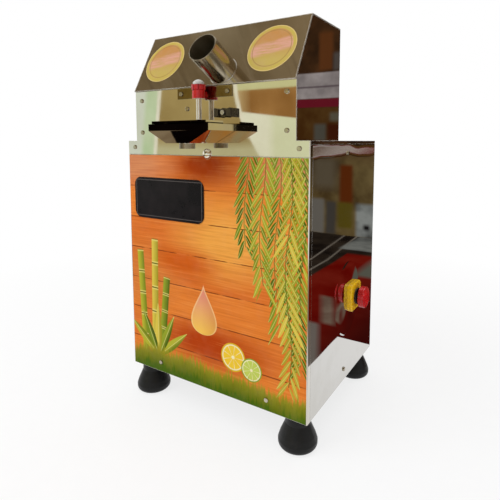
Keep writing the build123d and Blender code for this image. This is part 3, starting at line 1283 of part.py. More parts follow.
def tap_handle():
    """Red lobed handle on the tap's stem, and its cap."""
    low = TAP_Z + TAP_BODY_H / 2 + SEAT_GAP
    handle = bar_z((low, low + TAP_HANDLE_H), TAP_X, TAP_Y, TAP_HANDLE_R)
    for lobe in range(TAP_LOBES):
        y, x = polar(TAP_HANDLE_R + TAP_LOBE_R / 3, lobe * 2 * math.pi / TAP_LOBES)
        handle -= bar_z((low, low + TAP_HANDLE_H), TAP_X + x, TAP_Y + y, TAP_LOBE_R)
    handle -= bar_z((low, low + TAP_STEM_H), TAP_X, TAP_Y, WING_STUD_R + TURN_FIT)
    return [handle, tap_cap()]

def bend_radii(points, largest):
    """Bend at each corner of a lead: the wished one, or what its two runs leave room for."""
    radii = []
    for before, corner, after in zip(points, points[1:], points[2:]):
        shorter = min(math.dist(before, corner), math.dist(corner, after))
        radii.append(min(largest, shorter * RUN_SHARE))
    return radii


def lead(points, bend_r, radius):
    """Round lead along straight runs joined by arcs."""
    path = FilletPolyline(*points, radius=bend_radii(points, bend_r))
    start = Plane(origin=path @ 0, z_dir=path % 0)
    return sweep(start * Circle(radius), path=path)


def rinse_hose():
    """Hose inside the head from the water inlet to the tap."""
    start_x = TAP_X - TAP_ELBOW_R - SEAT_GAP
    end_y = HEAD_BACK_Y - SHEET - SEAT_GAP - TAP_TAIL_R
    points = [(start_x, HOSE_Y, TAP_Z), (HOSE_X, HOSE_Y, TAP_Z), (HOSE_X, end_y, TAP_Z)]
    return lead(points, HOSE_BEND_R, HOSE_R) - lead(points, HOSE_BEND_R, HOSE_BORE_R)


def water_inlet():
    """Threaded hose inlet through the back of the head."""
    inner_y = HEAD_BACK_Y - SHEET - SEAT_GAP
    inlet = bar_y((inner_y - BARB_LEN, inner_y), HOSE_X, TAP_Z, HOSE_BORE_R - RUNNING_FIT)
    inlet += bar_y((inner_y - TAP_TAIL_R + SEAT_GAP, inner_y), HOSE_X, TAP_Z, INLET_NUT_R)
    inlet += bar_y((inner_y, HEAD_BACK_Y + TAP_BODY_H), HOSE_X, TAP_Z, TAP_TAIL_R)
    inlet += bar_y((HEAD_BACK_Y + SEAT_GAP, HEAD_BACK_Y + TAP_TAIL_R), HOSE_X, TAP_Z, INLET_NUT_R)
    return inlet - bar_y((inner_y - BARB_LEN, HEAD_BACK_Y + TAP_BODY_H), HOSE_X, TAP_Z, TAP_BORE_R)


# Emergency stop pieces

def stop_bar(low_x, high_x, radius):
    """Round piece on the axis of the emergency stop."""
    return bar_x((low_x, high_x), (STOP_Y, STOP_CENTRE_Z), radius)


def estop_box():
    """Yellow housing on the side panel."""
    shape = extrude(RectangleRounded(STOP_BOX, STOP_BOX, STOP_BOX_R), STOP_BOX_D)
    outer = shape.faces().sort_by(Axis.Z)[-1]
    shape = fillet(outer.edges(), STOP_BOX_EDGE_R)
    shape = placed(shape, (SIDE_X, STOP_Y, STOP_CENTRE_Z), (1, 0, 0))
    return shape - stop_bar(SIDE_X, STOP_FACE_X, STOP_BARREL_R + HOLE_CLEAR)


def estop_collar():
    """Collar and threaded barrel through the panel, with the stem's bore."""
    inner_x = SIDE_X - STOP_BARREL_LEN
    collar = stop_bar(inner_x, STOP_FACE_X + STOP_COLLAR_H, STOP_BARREL_R)
    collar += stop_bar(STOP_FACE_X, STOP_FACE_X + STOP_COLLAR_H, STOP_COLLAR_R)
    return collar - stop_bar(inner_x, STOP_FACE_X + STOP_COLLAR_H, STOP_STEM_R + RUNNING_FIT)


def estop_locknut():
    """Nut that clamps the barrel inside the panel."""
    nut_x = SIDE_X - SHEET - STOP_COLLAR_H
    nut = placed(hex_bar(STOP_BARREL_R * 2, STOP_COLLAR_H), (nut_x, STOP_Y, STOP_CENTRE_Z), (1, 0, 0))
    return nut - stop_bar(nut_x, SIDE_X, STOP_BARREL_R + SCREW_CLEAR)


def stop_head_x():
    """Inner face of the mushroom head, with room for its travel."""
    return STOP_FACE_X + STOP_COLLAR_H + STOP_TRAVEL + SEAM


def estop_plunger():
    """Stem that slides in the collar."""
    inner_x = SIDE_X - STOP_BARREL_LEN + STOP_TRAVEL
    return stop_bar(inner_x, stop_head_x() + STOP_HEAD_H / 2, STOP_STEM_R)


def estop_head():
    """Red mushroom head that twists on the stem."""
    sphere_r = (STOP_HEAD_R ** 2 + STOP_HEAD_H ** 2) / STOP_HEAD_H
    head = Cylinder(STOP_HEAD_R, STOP_HEAD_H, align=ON_BASE)
    head = fillet(head.edges().sort_by(Axis.Z)[-1:], STOP_HEAD_EDGE_R)
    head &= Pos(0, 0, STOP_HEAD_H - sphere_r) * Sphere(sphere_r)
    head = placed(head, (stop_head_x(), STOP_Y, STOP_CENTRE_Z), (1, 0, 0))
    return head - stop_bar(stop_head_x(), stop_head_x() + STOP_HEAD_H / 2 + SEAM, STOP_STEM_R + TURN_FIT)


def estop_contact_block():
    """Switch block behind the barrel and the nut that clamps it."""
    high_x = SIDE_X - STOP_BARREL_LEN - SEAT_GAP
    half = STOP_BLOCK / 2
    ys = (STOP_Y - half, STOP_Y + half)
    zs = (STOP_CENTRE_Z - half, STOP_CENTRE_Z + half)
    return [block((high_x - STOP_BLOCK_D, high_x), ys, zs), estop_locknut()]


# Mains entry

def cable_gland():
    """Gland in the back panel for the mains lead, with its lock nut."""
    ys = (BACK_Y - SHEET - GLAND_OUT, BACK_Y + GLAND_OUT)
    body = bar_y(ys, GLAND_X, GLAND_CENTRE_Z, GLAND_R)
    collar = hex_bar(GLAND_R * 2, GLAND_OUT * 0.6)
    body += placed(collar, (GLAND_X, BACK_Y, GLAND_CENTRE_Z), (0, 1, 0))
    body -= bar_y(ys, GLAND_X, GLAND_CENTRE_Z, LEAD_R + SCREW_CLEAR)
    nut_y = BACK_Y - SHEET
    nut = placed(hex_bar(GLAND_R * 2, GLAND_OUT * 0.4), (GLAND_X, nut_y, GLAND_CENTRE_Z), (0, -1, 0))
    nut -= bar_y((nut_y - GLAND_OUT, nut_y), GLAND_X, GLAND_CENTRE_Z, GLAND_R + SCREW_CLEAR)
    return [body, nut]


def internal_leads():
    """Leads from the gland to the switch block and from there to the motor."""
    block_x = SIDE_X - STOP_BARREL_LEN - STOP_BLOCK_D / 2
    low_z = STOP_CENTRE_Z - STOP_BLOCK / 2 - SEAT_GAP
    high_z = STOP_CENTRE_Z + STOP_BLOCK / 2 + SEAT_GAP
    start_y = BACK_Y - SHEET - GLAND_OUT - SEAT_GAP
    supply = [(GLAND_X, start_y, GLAND_CENTRE_Z), (GLAND_X, STOP_Y, GLAND_CENTRE_Z),
              (block_x, STOP_Y, GLAND_CENTRE_Z), (block_x, STOP_Y, low_z)]
    box_x = TUBE_X + MOTOR_OUTER_R + TERMINAL_D / 2
    box_z = terminal_zs()[1] + SEAT_GAP
    loop_z = max(box_z, high_z) + LEAD_LOOP
    motor = [(block_x, STOP_Y, high_z), (block_x, STOP_Y, loop_z), (box_x, STOP_Y, loop_z), (box_x, STOP_Y, box_z)]
    return [lead(supply, LEAD_BEND_R, LEAD_R), lead(motor, LEAD_BEND_R, LEAD_R)]


NODES = [
    base_plate, frame, rubber_feet, foot_bolts, side_panel_left, side_panel_right, back_panel, deck_plate,
    front_cover, front_graphic, name_plate, cover_bolt, panel_screws,
    front_plate, hood, head_side_left, head_side_right, head_back, hood_stickers, feed_tube,
    crusher_cheek_left, crusher_cheek_right, frame_bolts, tie_rods, roller_bushes,
    top_roller, front_roller, rear_roller, top_roller_gear, front_roller_gear, rear_roller_gear,
    idler_gear, idler_shaft, drive_pinion, output_shaft, trash_plate, front_scraper, wing_knob,
    gearbox_plate, gearbox_housing, motor_body, terminal_box, fan_cowl,
    juice_pan, juice_tray, tray_rods, strainer, bagasse_chute,
    tap_plate, tap_body, tap_handle, rinse_hose, water_inlet,
    estop_box, estop_collar, estop_plunger, estop_head, estop_contact_block,
    cable_gland, internal_leads,
]



def built(node):
    """Shape of a node, with several solids held in one compound."""
    shape = node()
    return Compound(shape) if isinstance(shape, list) else shape


SHAPES = {node.__name__: built(node) for node in NODES}
BOXES = [shape.bounding_box() for shape in SHAPES.values()]
MIDDLE_X = (min(box.min.X for box in BOXES) + max(box.max.X for box in BOXES)) / 2
MIDDLE_Y = (min(box.min.Y for box in BOXES) + max(box.max.Y for box in BOXES)) / 2

os.makedirs("parts", exist_ok=True)
for name, shape in SHAPES.items():
    export_step(Pos(-MIDDLE_X, -MIDDLE_Y, 0) * shape, f"parts/{name}.step")
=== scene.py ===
import json
import math
import random

import bpy
from mathutils import Color, Matrix, Vector


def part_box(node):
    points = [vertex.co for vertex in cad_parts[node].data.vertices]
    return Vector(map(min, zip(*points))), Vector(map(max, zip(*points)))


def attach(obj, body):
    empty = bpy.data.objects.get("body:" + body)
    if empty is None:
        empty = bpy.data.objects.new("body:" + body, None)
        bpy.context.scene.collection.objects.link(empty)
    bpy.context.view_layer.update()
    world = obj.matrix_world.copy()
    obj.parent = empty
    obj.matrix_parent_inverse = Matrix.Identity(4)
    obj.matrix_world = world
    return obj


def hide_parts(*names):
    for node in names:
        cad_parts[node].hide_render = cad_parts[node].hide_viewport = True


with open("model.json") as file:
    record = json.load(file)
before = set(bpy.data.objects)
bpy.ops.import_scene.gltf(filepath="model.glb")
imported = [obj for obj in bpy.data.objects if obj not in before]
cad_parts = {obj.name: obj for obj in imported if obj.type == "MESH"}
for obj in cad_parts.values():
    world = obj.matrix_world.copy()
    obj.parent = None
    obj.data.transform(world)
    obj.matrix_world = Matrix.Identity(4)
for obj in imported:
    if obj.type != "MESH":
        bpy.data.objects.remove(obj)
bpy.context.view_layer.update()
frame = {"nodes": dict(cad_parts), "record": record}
nodes = frame["nodes"]

# Places below are in metres from the floor under the middle of the cabinet
base_low, base_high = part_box("base_plate")
CABINET = Vector(((base_low.x + base_high.x) / 2, (base_low.y + base_high.y) / 2, 0.0))

# The feed tube's mouth and direction, square to the slope of the hood
MOUNTS = {mount["name"]: mount for mount in frame["record"]["mounts"]}
TUBE_MOUTH = Vector(MOUNTS["cane_feed"]["pos_m"])
TUBE_AXIS = Vector(MOUNTS["cane_feed"]["axis"])
SLOPE_TURN = math.atan2(-TUBE_AXIS.y, TUBE_AXIS.z)

# Camera
CAMERA_AT = (0.472, -0.752, 0.506)
CAMERA_TURN = 31.8
CAMERA_DROP = 5.6
CAMERA_LENS = 31.39
CAMERA_SHIFT = (-0.0173, -0.1319)
SENSOR_WIDTH = 36.0
CLIP_START = 0.01

# Studio
FLOOR_REACH = (-6.0, 6.0)
FLOOR_TONES = ((0.86, 0.86, 0.86, 1.0), (0.83, 0.83, 0.83, 1.0))
FLOOR_SPECKS = (40.0, 3.0, 0.5, 0.3, 0.7)
FLOOR_FADE = (0.45, 1.3, 0.78, 1.0)
FLOOR_ROUGH = 0.7
FILL_LIGHT = 0.62
WHITE = (1, 1, 1, 1)

# Lamps: place, target, size, power
LAMPS = {
    "key_light": ((-1.3, -2.0, 2.3), (0, 0, 0.35), 1.8, 36.0),
    "top_light": ((0.3, -0.2, 2.8), (0, 0, 0.4), 2.4, 24.0),
}

DISPLAY_WHITE = 255


def at(x, y, z):
    """Point given from the middle of the cabinet, in the frame's own coordinates."""
    return Vector((x, y, z)) + CABINET


def tone(*values):
    """Colour from display values of 0 to 255."""
    shown = Color([value / DISPLAY_WHITE for value in values])
    return (*shown.from_srgb_to_scene_linear(), 1.0)


# Size that takes a direction out of a distance
ENDLESS = 1e3
SPOT_EDGE = (0.3, 1.0, 1.0, 0.0)
BEVEL_SAMPLES = 4

# Places of the colour sockets on a mix node
MIX_LOW, MIX_HIGH, MIX_RESULT = 6, 7, 2


class Shader:
    """A material's nodes, with short calls for the kinds used here."""

    def __init__(self, name):
        self.material = bpy.data.materials.new(name)
        self.material.use_nodes = True
        self.tree = self.material.node_tree
        self.surface = self.tree.nodes["Principled BSDF"]
        self.place = self.add("ShaderNodeTexCoord").outputs["Object"]

    def add(self, kind):
        return self.tree.nodes.new(kind)

    def feed(self, socket, value):
        """Links a node's output to a socket, or sets a plain value on it."""
        if isinstance(value, bpy.types.NodeSocket):
            self.tree.links.new(value, socket)
        else:
            socket.default_value = value

    def fed(self, name):
        """What already feeds one of the surface's sockets."""
        return self.surface.inputs[name].links[0].from_socket

    def set(self, **values):
        """Sets the surface's sockets, named with underscores for spaces."""
        for name, value in values.items():
            self.feed(self.surface.inputs[name.replace("_", " ")], value)

    def math(self, operation, *values):
        node = self.add("ShaderNodeMath")
        node.operation = operation
        for socket, value in zip(node.inputs, values):
            self.feed(socket, value)
        return node.outputs[0]

    def plus(self, first, second):
        return self.math("ADD", first, second)

    def minus(self, first, second):
        return self.math("SUBTRACT", first, second)

    def times(self, first, second):
        return self.math("MULTIPLY", first, second)

    def off(self, value, middle):
        """How far a value is from a middle."""
        return self.math("ABSOLUTE", self.minus(value, middle))

    def cell(self, value):
        """How far a value is from the middle of its whole step."""
        return self.off(self.math("FRACT", value), 0.5)

    def vector(self, operation, first, second=(0, 0, 0)):
        node = self.add("ShaderNodeVectorMath")
        node.operation = operation
        self.feed(node.inputs[0], first)
        self.feed(node.inputs[1], second)
        return node.outputs["Value" if operation in ("LENGTH", "DOT_PRODUCT") else "Vector"]

    def mix(self, share, low, high):
        """Blend of two colours."""
        node = self.add("ShaderNodeMix")
        node.data_type = "RGBA"
        self.feed(node.inputs[0], share)
        self.feed(node.inputs[MIX_LOW], low)
        self.feed(node.inputs[MIX_HIGH], high)
        return node.outputs[MIX_RESULT]

    def span(self, value, low, high, start=0.0, end=1.0):
        """Value moved from one range to another, and kept inside it."""
        node = self.add("ShaderNodeMapRange")
        self.feed(node.inputs["Value"], value)
        node.inputs["From Min"].default_value = low
        node.inputs["From Max"].default_value = high
        node.inputs["To Min"].default_value = start
        node.inputs["To Max"].default_value = end
        return node.outputs["Result"]

    def between(self, share, low, high):
        """Share from nothing to one, moved to a range."""
        return self.span(share, 0, 1, low, high)

    def rise(self, value, level, soft):
        """Nothing below a level and one above it."""
        return self.span(value, level - soft, level + soft)

    def fall(self, value, level, soft):
        """One below a level and nothing above it."""
        return self.span(value, level - soft, level + soft, 1.0, 0.0)

    def band(self, value, low, high, soft):
        """One between two limits, with soft ends."""
        return self.times(self.rise(value, low, soft), self.fall(value, high, soft))

    def moved(self, centre=(0, 0, 0), turn=(0, 0, 0), size=(1, 1, 1)):
        """Place measured from a centre, turned and divided by a size."""
        node = self.add("ShaderNodeMapping")
        node.vector_type = "TEXTURE"
        self.feed(node.inputs["Vector"], self.place)
        node.inputs["Location"].default_value = centre
        node.inputs["Rotation"].default_value = turn
        node.inputs["Scale"].default_value = size
        return node.outputs["Vector"]

    def parts(self, vector):
        node = self.add("ShaderNodeSeparateXYZ")
        self.feed(node.inputs[0], vector)
        return node.outputs[0], node.outputs[1], node.outputs[2]

    def joined(self, x, y, z):
        node = self.add("ShaderNodeCombineXYZ")
        for socket, value in zip(node.inputs, (x, y, z)):
            self.feed(socket, value)
        return node.outputs[0]

    def axes(self):
        """The three coordinates, measured from the middle of the cabinet."""
        return self.parts(self.moved(CABINET))

    def spot(self, centre, size):
        """One in the middle of an oval, easing to nothing at its edge."""
        far = self.vector("LENGTH", self.moved(at(*centre), size=size))
        return self.span(far, *SPOT_EDGE)

    def noise(self, scale, detail=3.0, roughness=0.5, size=(1, 1, 1)):
        node = self.add("ShaderNodeTexNoise")
        node.inputs["Scale"].default_value = scale
        node.inputs["Detail"].default_value = detail
        node.inputs["Roughness"].default_value = roughness
        self.feed(node.inputs["Vector"], self.moved(size=size))
        return node.outputs["Fac"]

    def mottle(self, scale, detail, roughness, low, high):
        """Noise that rises from nothing to one between two limits."""
        return self.span(self.noise(scale, detail, roughness), low, high)

    def chance(self, value):
        """Number from 0 to 1 that jumps with each whole value."""
        node = self.add("ShaderNodeTexWhiteNoise")
        node.noise_dimensions = "1D"
        self.feed(node.inputs["W"], value)
        return node.outputs["Value"]

    def bump(self, height, distance, strength=1.0, normal=None):
        node = self.add("ShaderNodeBump")
        node.inputs["Strength"].default_value = strength
        node.inputs["Distance"].default_value = distance
        self.feed(node.inputs["Height"], height)
        if normal is not None:
            self.feed(node.inputs["Normal"], normal)
        return node.outputs["Normal"]

    def rounded(self, radius):
        """Normal that eases over sharp edges."""
        node = self.add("ShaderNodeBevel")
        node.samples = BEVEL_SAMPLES
        node.inputs["Radius"].default_value = radius
        return node.outputs["Normal"]

    def grain(self, scale, detail, depth, strength, edge=None):
        """Normal with a fine grain, eased over sharp edges where a radius is given."""
        normal = self.rounded(edge) if edge else None
        return self.bump(self.noise(scale, detail), depth, strength, normal)

    def facing(self):
        """Direction that the surface faces."""
        return self.add("ShaderNodeNewGeometry").outputs["Normal"]

    def blend(self, share, first, second):
        """Sends a blend of two shaders to the output."""
        mix = self.add("ShaderNodeMixShader")
        for socket, value in zip(mix.inputs, (share, first, second)):
            self.feed(socket, value)
        self.feed(self.tree.nodes["Material Output"].inputs["Surface"], mix.outputs[0])

    def glow(self, colour, cover):
        """Makes the surface shine in a colour where it covers, and leaves it clear elsewhere."""
        shine = self.add("ShaderNodeEmission")
        self.feed(shine.inputs["Color"], colour)
        clear = self.add("ShaderNodeBsdfTransparent")
        self.blend(cover, clear.outputs[0], shine.outputs[0])


# Looks below are given in the order of the shader calls that take them

# Polished steel

STEEL = tone(221, 216, 206)
STEEL_DULL = tone(207, 201, 188)
SMUDGES = (7.0, 5.0, 0.6, 0.42, 0.75)
SHEET_ROUGH = (0.01, 0.06)
ROLL_NOISE = (5.0, 1.0, 0.3)
LINE_NOISE = (260.0, 2.0, 0.5, (1, 1, 14))
LINE_ROUGH = (0.3, 0.8, 0.0, 0.015)
LINE_BUMP = (0.00001, 0.2)


def polished(s, wave, normal, rough=SHEET_ROUGH, light=STEEL, dull=STEEL_DULL):
    """Mirror-polished sheet: wavy from rolling, with smudges and fine polishing lines."""
    smudge = s.mottle(*SMUDGES)
    lines = s.noise(*LINE_NOISE)
    s.set(Base_Color=s.mix(smudge, light, dull), Metallic=1.0)
    s.set(Roughness=s.plus(s.between(smudge, *rough), s.span(lines, *LINE_ROUGH)))
    rolled = s.bump(s.noise(*ROLL_NOISE), wave, 1.0, normal)
    s.set(Normal=s.bump(lines, *LINE_BUMP, rolled))
    return s.material


def roughened(s, share, rough):
    """Makes part of the surface at least as rough as a value."""
    s.set(Roughness=s.math("MAXIMUM", s.fed("Roughness"), s.times(share, rough)))


# Edges of polished sheets: painted highlight, a pale, less metallic and rougher skin where the
# eased normal turns away from the face
EDGE_TURN = (0.90, 0.985, 1.0, 0.0)
EDGE_HIGHLIGHT_TONE = tone(236, 232, 222)
EDGE_METAL = 0.45
EDGE_ROUGH = 0.32


def polished_sheet(name, wave, edge):
    """Polished sheet with a painted highlight on its edges: paler, less metallic and rougher
    there, so that the lamps light them bright.
    """
    s = Shader(name)
    eased = s.rounded(edge)
    polished(s, wave, eased)
    # Painted highlight along the edges, where the eased normal turns away from the true face
    edge_highlight = s.span(s.vector("DOT_PRODUCT", eased, s.facing()), *EDGE_TURN)
    s.set(Base_Color=s.mix(edge_highlight, s.fed("Base Color"), EDGE_HIGHLIGHT_TONE))
    s.set(Metallic=s.between(edge_highlight, 1.0, EDGE_METAL))
    roughened(s, edge_highlight, EDGE_ROUGH)
    return s.material


SIDE_STEEL = tone(212, 210, 206)
SIDE_DULL = tone(199, 196, 189)
SIDE_WAVE = 0.0005
SIDE_EDGE = 0.0005
DENT_Z = 0.488
DENT_WAVER_NOISE = (9.0, 2.0, 0.5, (1, 1, 9))
DENT_WAVER = (0.3, 0.7, -0.004, 0.004)
DENT_HALF_NOISE = (6.0, 1.0, 0.4, (1, 1, 9))
DENT_HALF = (0.36, 0.60, 0.003, 0.010)
DENT_EASE = (-0.004, 0.003)
DENT_LEAN = 0.335
DENT_ROUGH = 0.19
# Paler tint along the bend: painted highlight
DENT_HIGHLIGHT_TONE = tone(255, 246, 222)
PUCKER_AT = (0, 0.012, 0.213)
PUCKER_SIZE = (ENDLESS, 0.062, 0.070)
PUCKER_NOISE = (17.0, 0.0)
PUCKER_DEPTH = 0.004


def dented_sheet():
    """Side panel, out of flat along its upper edge and puckered around the stop switch, with a
    painted highlight along the bend.
    """
    s = Shader("dented_sheet")
    z = s.axes()[2]
    waver = s.span(s.noise(*DENT_WAVER_NOISE), *DENT_WAVER)
    half = s.span(s.noise(*DENT_HALF_NOISE), *DENT_HALF)
    past = s.minus(s.off(s.minus(z, DENT_Z), waver), half)
    lean = s.span(past, *DENT_EASE, DENT_LEAN, 0.0)
    turned = s.vector("ADD", s.rounded(SIDE_EDGE), s.joined(0.0, 0.0, lean))
    pucker = s.times(s.spot(PUCKER_AT, PUCKER_SIZE), s.noise(*PUCKER_NOISE))
    puckered = s.bump(pucker, PUCKER_DEPTH, 1.0, s.vector("NORMALIZE", turned))
    polished(s, SIDE_WAVE, puckered, light=SIDE_STEEL, dull=SIDE_DULL)
    # Painted highlight: a paler, rougher tint wherever the upper edge leans
    dent_highlight = s.span(lean, 0.0, DENT_LEAN)
    s.set(Base_Color=s.mix(dent_highlight, s.fed("Base Color"), DENT_HIGHLIGHT_TONE))
    roughened(s, dent_highlight, DENT_ROUGH)
    return s.material


TRAY_FRONT = (-0.95, -0.85, -1.0, 0.0)
TRAY_KNEE = (0.5226, 0.5234)
TRAY_LEANS = (0.27, 0.40)
TRAY_WAVE = 0.00005
TRAY_ROUGH = (0.0, 0.02)
# Mottled dark band where the strainer's rim sits on the tray: painted shade in the gap between
# them
GAP_SHADE_Z = (0.5336, 0.5358, 0.0003)
GAP_SHADE_NOISE = (50.0, 3.0, 0.5, 0.2, 0.45)
GAP_SHADE_TONE = tone(34, 26, 16)
OUTLET_Z = (0.5026, 0.0002)
OUTLET_TONE = tone(150, 140, 118)
OUTLET_ROUGH = 0.36


def tray_sheet():
    """Juice tray and strainer, whose front leans under so that it mirrors the ground, with painted
    shade in the gap where the strainer sits on the tray.
    """
    s = Shader("tray_sheet")
    z = s.axes()[2]
    facing = s.facing()
    front = s.span(s.parts(facing)[1], *TRAY_FRONT)
    lean = s.times(front, s.span(z, *TRAY_KNEE, *TRAY_LEANS))
    turned = s.vector("ADD", facing, s.joined(0.0, 0.0, lean))
    polished(s, TRAY_WAVE, s.vector("NORMALIZE", turned), TRAY_ROUGH)
    # Painted shade in the gap between the strainer's rim and the tray
    gap_shade = s.times(s.band(z, *GAP_SHADE_Z), s.mottle(*GAP_SHADE_NOISE))
    outlet = s.fall(z, *OUTLET_Z)
    s.set(Base_Color=s.mix(outlet, s.mix(gap_shade, STEEL, GAP_SHADE_TONE), OUTLET_TONE))
    s.set(Roughness=s.plus(s.fed("Roughness"), s.times(outlet, OUTLET_ROUGH)))
    return s.material


TUBE_STEEL = tone(186, 178, 160)
TUBE_DULL = tone(150, 138, 116)
TUBE_INNER_R = (0.0246, 0.0003)
TUBE_WAVE = 0.0001
TUBE_EDGE = 0.0014
TUBE_ROUGH = (0.13, 0.38)
TUBE_STREAKS = (1.0, 3.0, 0.5, (0.004, 0.004, 0.06))
STREAK_ROUGH = (0.3, 0.7, 0.0, 0.06)


def tube_steel():
    """Feed tube: polished outside, dull inside."""
    s = Shader("tube_steel")
    across, up, out = s.parts(s.moved(TUBE_MOUTH, (SLOPE_TURN, 0, 0)))
    far = s.vector("LENGTH", s.joined(across, up, 0.0))
    inside = s.fall(far, *TUBE_INNER_R)
    polished(s, TUBE_WAVE, s.rounded(TUBE_EDGE), light=TUBE_STEEL, dull=TUBE_DULL)
    streak = s.span(s.noise(*TUBE_STREAKS), *STREAK_ROUGH)
    s.set(Roughness=s.plus(s.between(inside, *TUBE_ROUGH), streak))
    return s.material


# Other metals, plastics and rubber

STAINS = (24.0, 6.0, 0.65, 0.35, 0.7)
METAL_GRAIN = (400.0, 3.0, 0.00015, 0.5, 0.0006)
PAINT_DUST = (18.0, 6.0, 0.6, 0.4, 0.75)
PAINT_ROUGH = (0.32, 0.6)
PAINT_PEEL = (220.0, 2.0, 0.0003, 0.4, 0.001)
HANDLING = (60.0, 4.0, 0.6, 0.35, 0.75)
PLASTIC_GRAIN = (700.0, 2.0, 0.0001, 0.35, 0.0007)
RUBBER_TONES = (tone(9, 9, 9), tone(34, 33, 31))
RUBBER_DUST = (38.0, 6.0, 0.65, 0.5, 0.9)
RUBBER_ROUGH = (0.4, 0.7)
RUBBER_GLOSS = 0.25
PEBBLES = (520.0, 2.0, 0.0002, 0.5)


def patchy(s, patches, first, second, rough, grain):
    """Two shades in patches, each with its roughness, under a fine grain."""
    share = s.mottle(*patches)
    s.set(Base_Color=s.mix(share, first, second), Roughness=s.between(share, *rough))
    s.set(Normal=s.grain(*grain))
    return s.material


def plain_metal(name, light, dark, rough):
    """Machined or cast metal with stained patches and a fine grain."""
    s = Shader(name)
    s.set(Metallic=1.0)
    return patchy(s, STAINS, light, dark, rough, METAL_GRAIN)


def painted_metal(name, light, dark):
    """Brush-painted steel, dusty in patches and orange-peel rough."""
    return patchy(Shader(name), PAINT_DUST, dark, light, PAINT_ROUGH, PAINT_PEEL)


def moulded(name, light, dark, rough):
    """Moulded plastic with a fine texture and slight shade from handling."""
    return patchy(Shader(name), HANDLING, light, dark, rough, PLASTIC_GRAIN)


def rubber():
    """Black rubber with dust and a pebbled skin."""
    s = Shader("rubber")
    s.set(Specular_IOR_Level=RUBBER_GLOSS)
    return patchy(s, RUBBER_DUST, *RUBBER_TONES, RUBBER_ROUGH, PEBBLES)


RED = (tone(206, 22, 26), tone(160, 10, 16))
CAP = (tone(222, 222, 216), tone(186, 186, 180))
SPOUT_TOP_Z = (0.577, 0.0003)
SPOUT_ROUGH = (0.12, 0.26)
CAP_FOOT_Z = (0.5999, 0.0001)
CAP_ROUGH = (0.16, 0.32)
TAP_EDGE = 0.0008


def two_tone(s, level, below, above, rough):
    """Handled skin that changes its colours at a level; gives what is above it."""
    over = s.rise(s.axes()[2], *level)
    worn = s.mottle(*HANDLING)
    s.set(Base_Color=s.mix(over, s.mix(worn, *below), s.mix(worn, *above)))
    s.set(Roughness=s.between(worn, *rough), Normal=s.rounded(TAP_EDGE))
    return over


def tap_skin():
    """Tap: red body above, steel spout below."""
    s = Shader("tap_skin")
    red = two_tone(s, SPOUT_TOP_Z, (STEEL, STEEL_DULL), RED, SPOUT_ROUGH)
    s.set(Metallic=s.between(red, 1.0, 0.0))
    return s.material


def handle_skin():
    """Tap handle: red below, pale cap on top."""
    s = Shader("handle_skin")
    two_tone(s, CAP_FOOT_Z, RED, CAP, CAP_ROUGH)
    return s.material


# Printed film: planks

PLANK_H = 0.0605
PLANK_SEAM_Z = 0.118
PLANK_TONES = (tone(226, 128, 48), tone(214, 110, 40))
PLANK_GRAIN = (1.0, 4.0, 0.6, (0.10, 1, 0.0035))
DARK_GRAIN = (0.45, 0.75, 0.0, 0.35)
DARK_GRAIN_TONE = tone(164, 64, 14)
PALE_GRAIN = (0.25, 0.45, 0.25, 0.0)
PALE_GRAIN_TONE = tone(246, 176, 96)
SEAM = (0.00035, 0.00112, 1.0, 0.0)
SEAM_TONE = tone(104, 40, 12)
SEAM_NOISE = (1.0, 3.0, 0.5, (0.05, 1, 0.03))
SEAM_WORN = (0.40, 0.52)

# Paler and darker stretches: place across and up, half width and half height, colour
PLANK_PATCHES = (
    (0.04, 0.335, 0.15, 0.09, tone(236, 162, 70)),
    (-0.15, 0.25, 0.10, 0.08, tone(214, 124, 52)),
    (-0.01, 0.465, 0.10, 0.045, tone(166, 60, 2)),
    (0.0, 0.140, 0.16, 0.050, tone(178, 62, 2)),
    (-0.06, 0.285, 0.10, 0.035, tone(204, 92, 18)),
    (-0.18, 0.46, 0.13, 0.05, tone(204, 130, 86)),
    (0.18, 0.46, 0.13, 0.05, tone(204, 130, 86)),
)


def boards(s, z):
    """Painted planks in warm orange, with worn seams and grain."""
    count = s.math("DIVIDE", s.minus(z, PLANK_SEAM_Z), PLANK_H)
    paint = s.mix(s.chance(s.math("FLOOR", count)), *PLANK_TONES)
    for across, up, width, height, colour in PLANK_PATCHES:
        stretch = s.spot((across, 0, up), (width, ENDLESS, height))
        paint = s.mix(stretch, paint, colour)
    grain = s.noise(*PLANK_GRAIN)
    paint = s.mix(s.span(grain, *DARK_GRAIN), paint, DARK_GRAIN_TONE)
    paint = s.mix(s.span(grain, *PALE_GRAIN), paint, PALE_GRAIN_TONE)
    gap = s.times(s.minus(0.5, s.cell(count)), PLANK_H)
    worn = s.span(s.noise(*SEAM_NOISE), *SEAM_WORN)
    return s.mix(s.times(s.span(gap, *SEAM), worn), paint, SEAM_TONE)


# Printed film: hanging strands of slim leaves

GREENS = (
    (tone(178, 176, 50), tone(112, 126, 26)),
    (tone(144, 158, 42), tone(78, 100, 16)),
    (tone(214, 192, 72), tone(156, 144, 34)),
    (tone(120, 142, 30), tone(64, 86, 10)),
)

# Strands: place across, length, which of the greens
STRANDS = (
    (0.176, 0.33, 3), (0.082, 0.15, 3), (0.140, 0.27, 1),
    (0.112, 0.21, 0), (0.186, 0.25, 0), (0.160, 0.37, 2),
)
STRAND_TOP = 0.480
STRAND_SWAY = 0.006
STRAND_WAVE = 24.0
STRAND_SHIFT = 1e3
STRAND_FOOT = 0.002
STRAND_STEM = (0.00054, 0.0009, 1.0, 0.0)
STEM_TONE = tone(112, 112, 34)
SLIM_PITCH = 0.0185
SLIM_STAGGER = 0.5
SLIM_LEAN = 0.52
SLIM_REACH = (0.01625, 0.025)
SLIM_FULL = 1.76
SLIM_EDGE = (0.0, 0.05)
SLIM_RIB = (0.03, 0.08, 0.6, 0.0)
SLIM_RIB_TONE = tone(222, 214, 122)


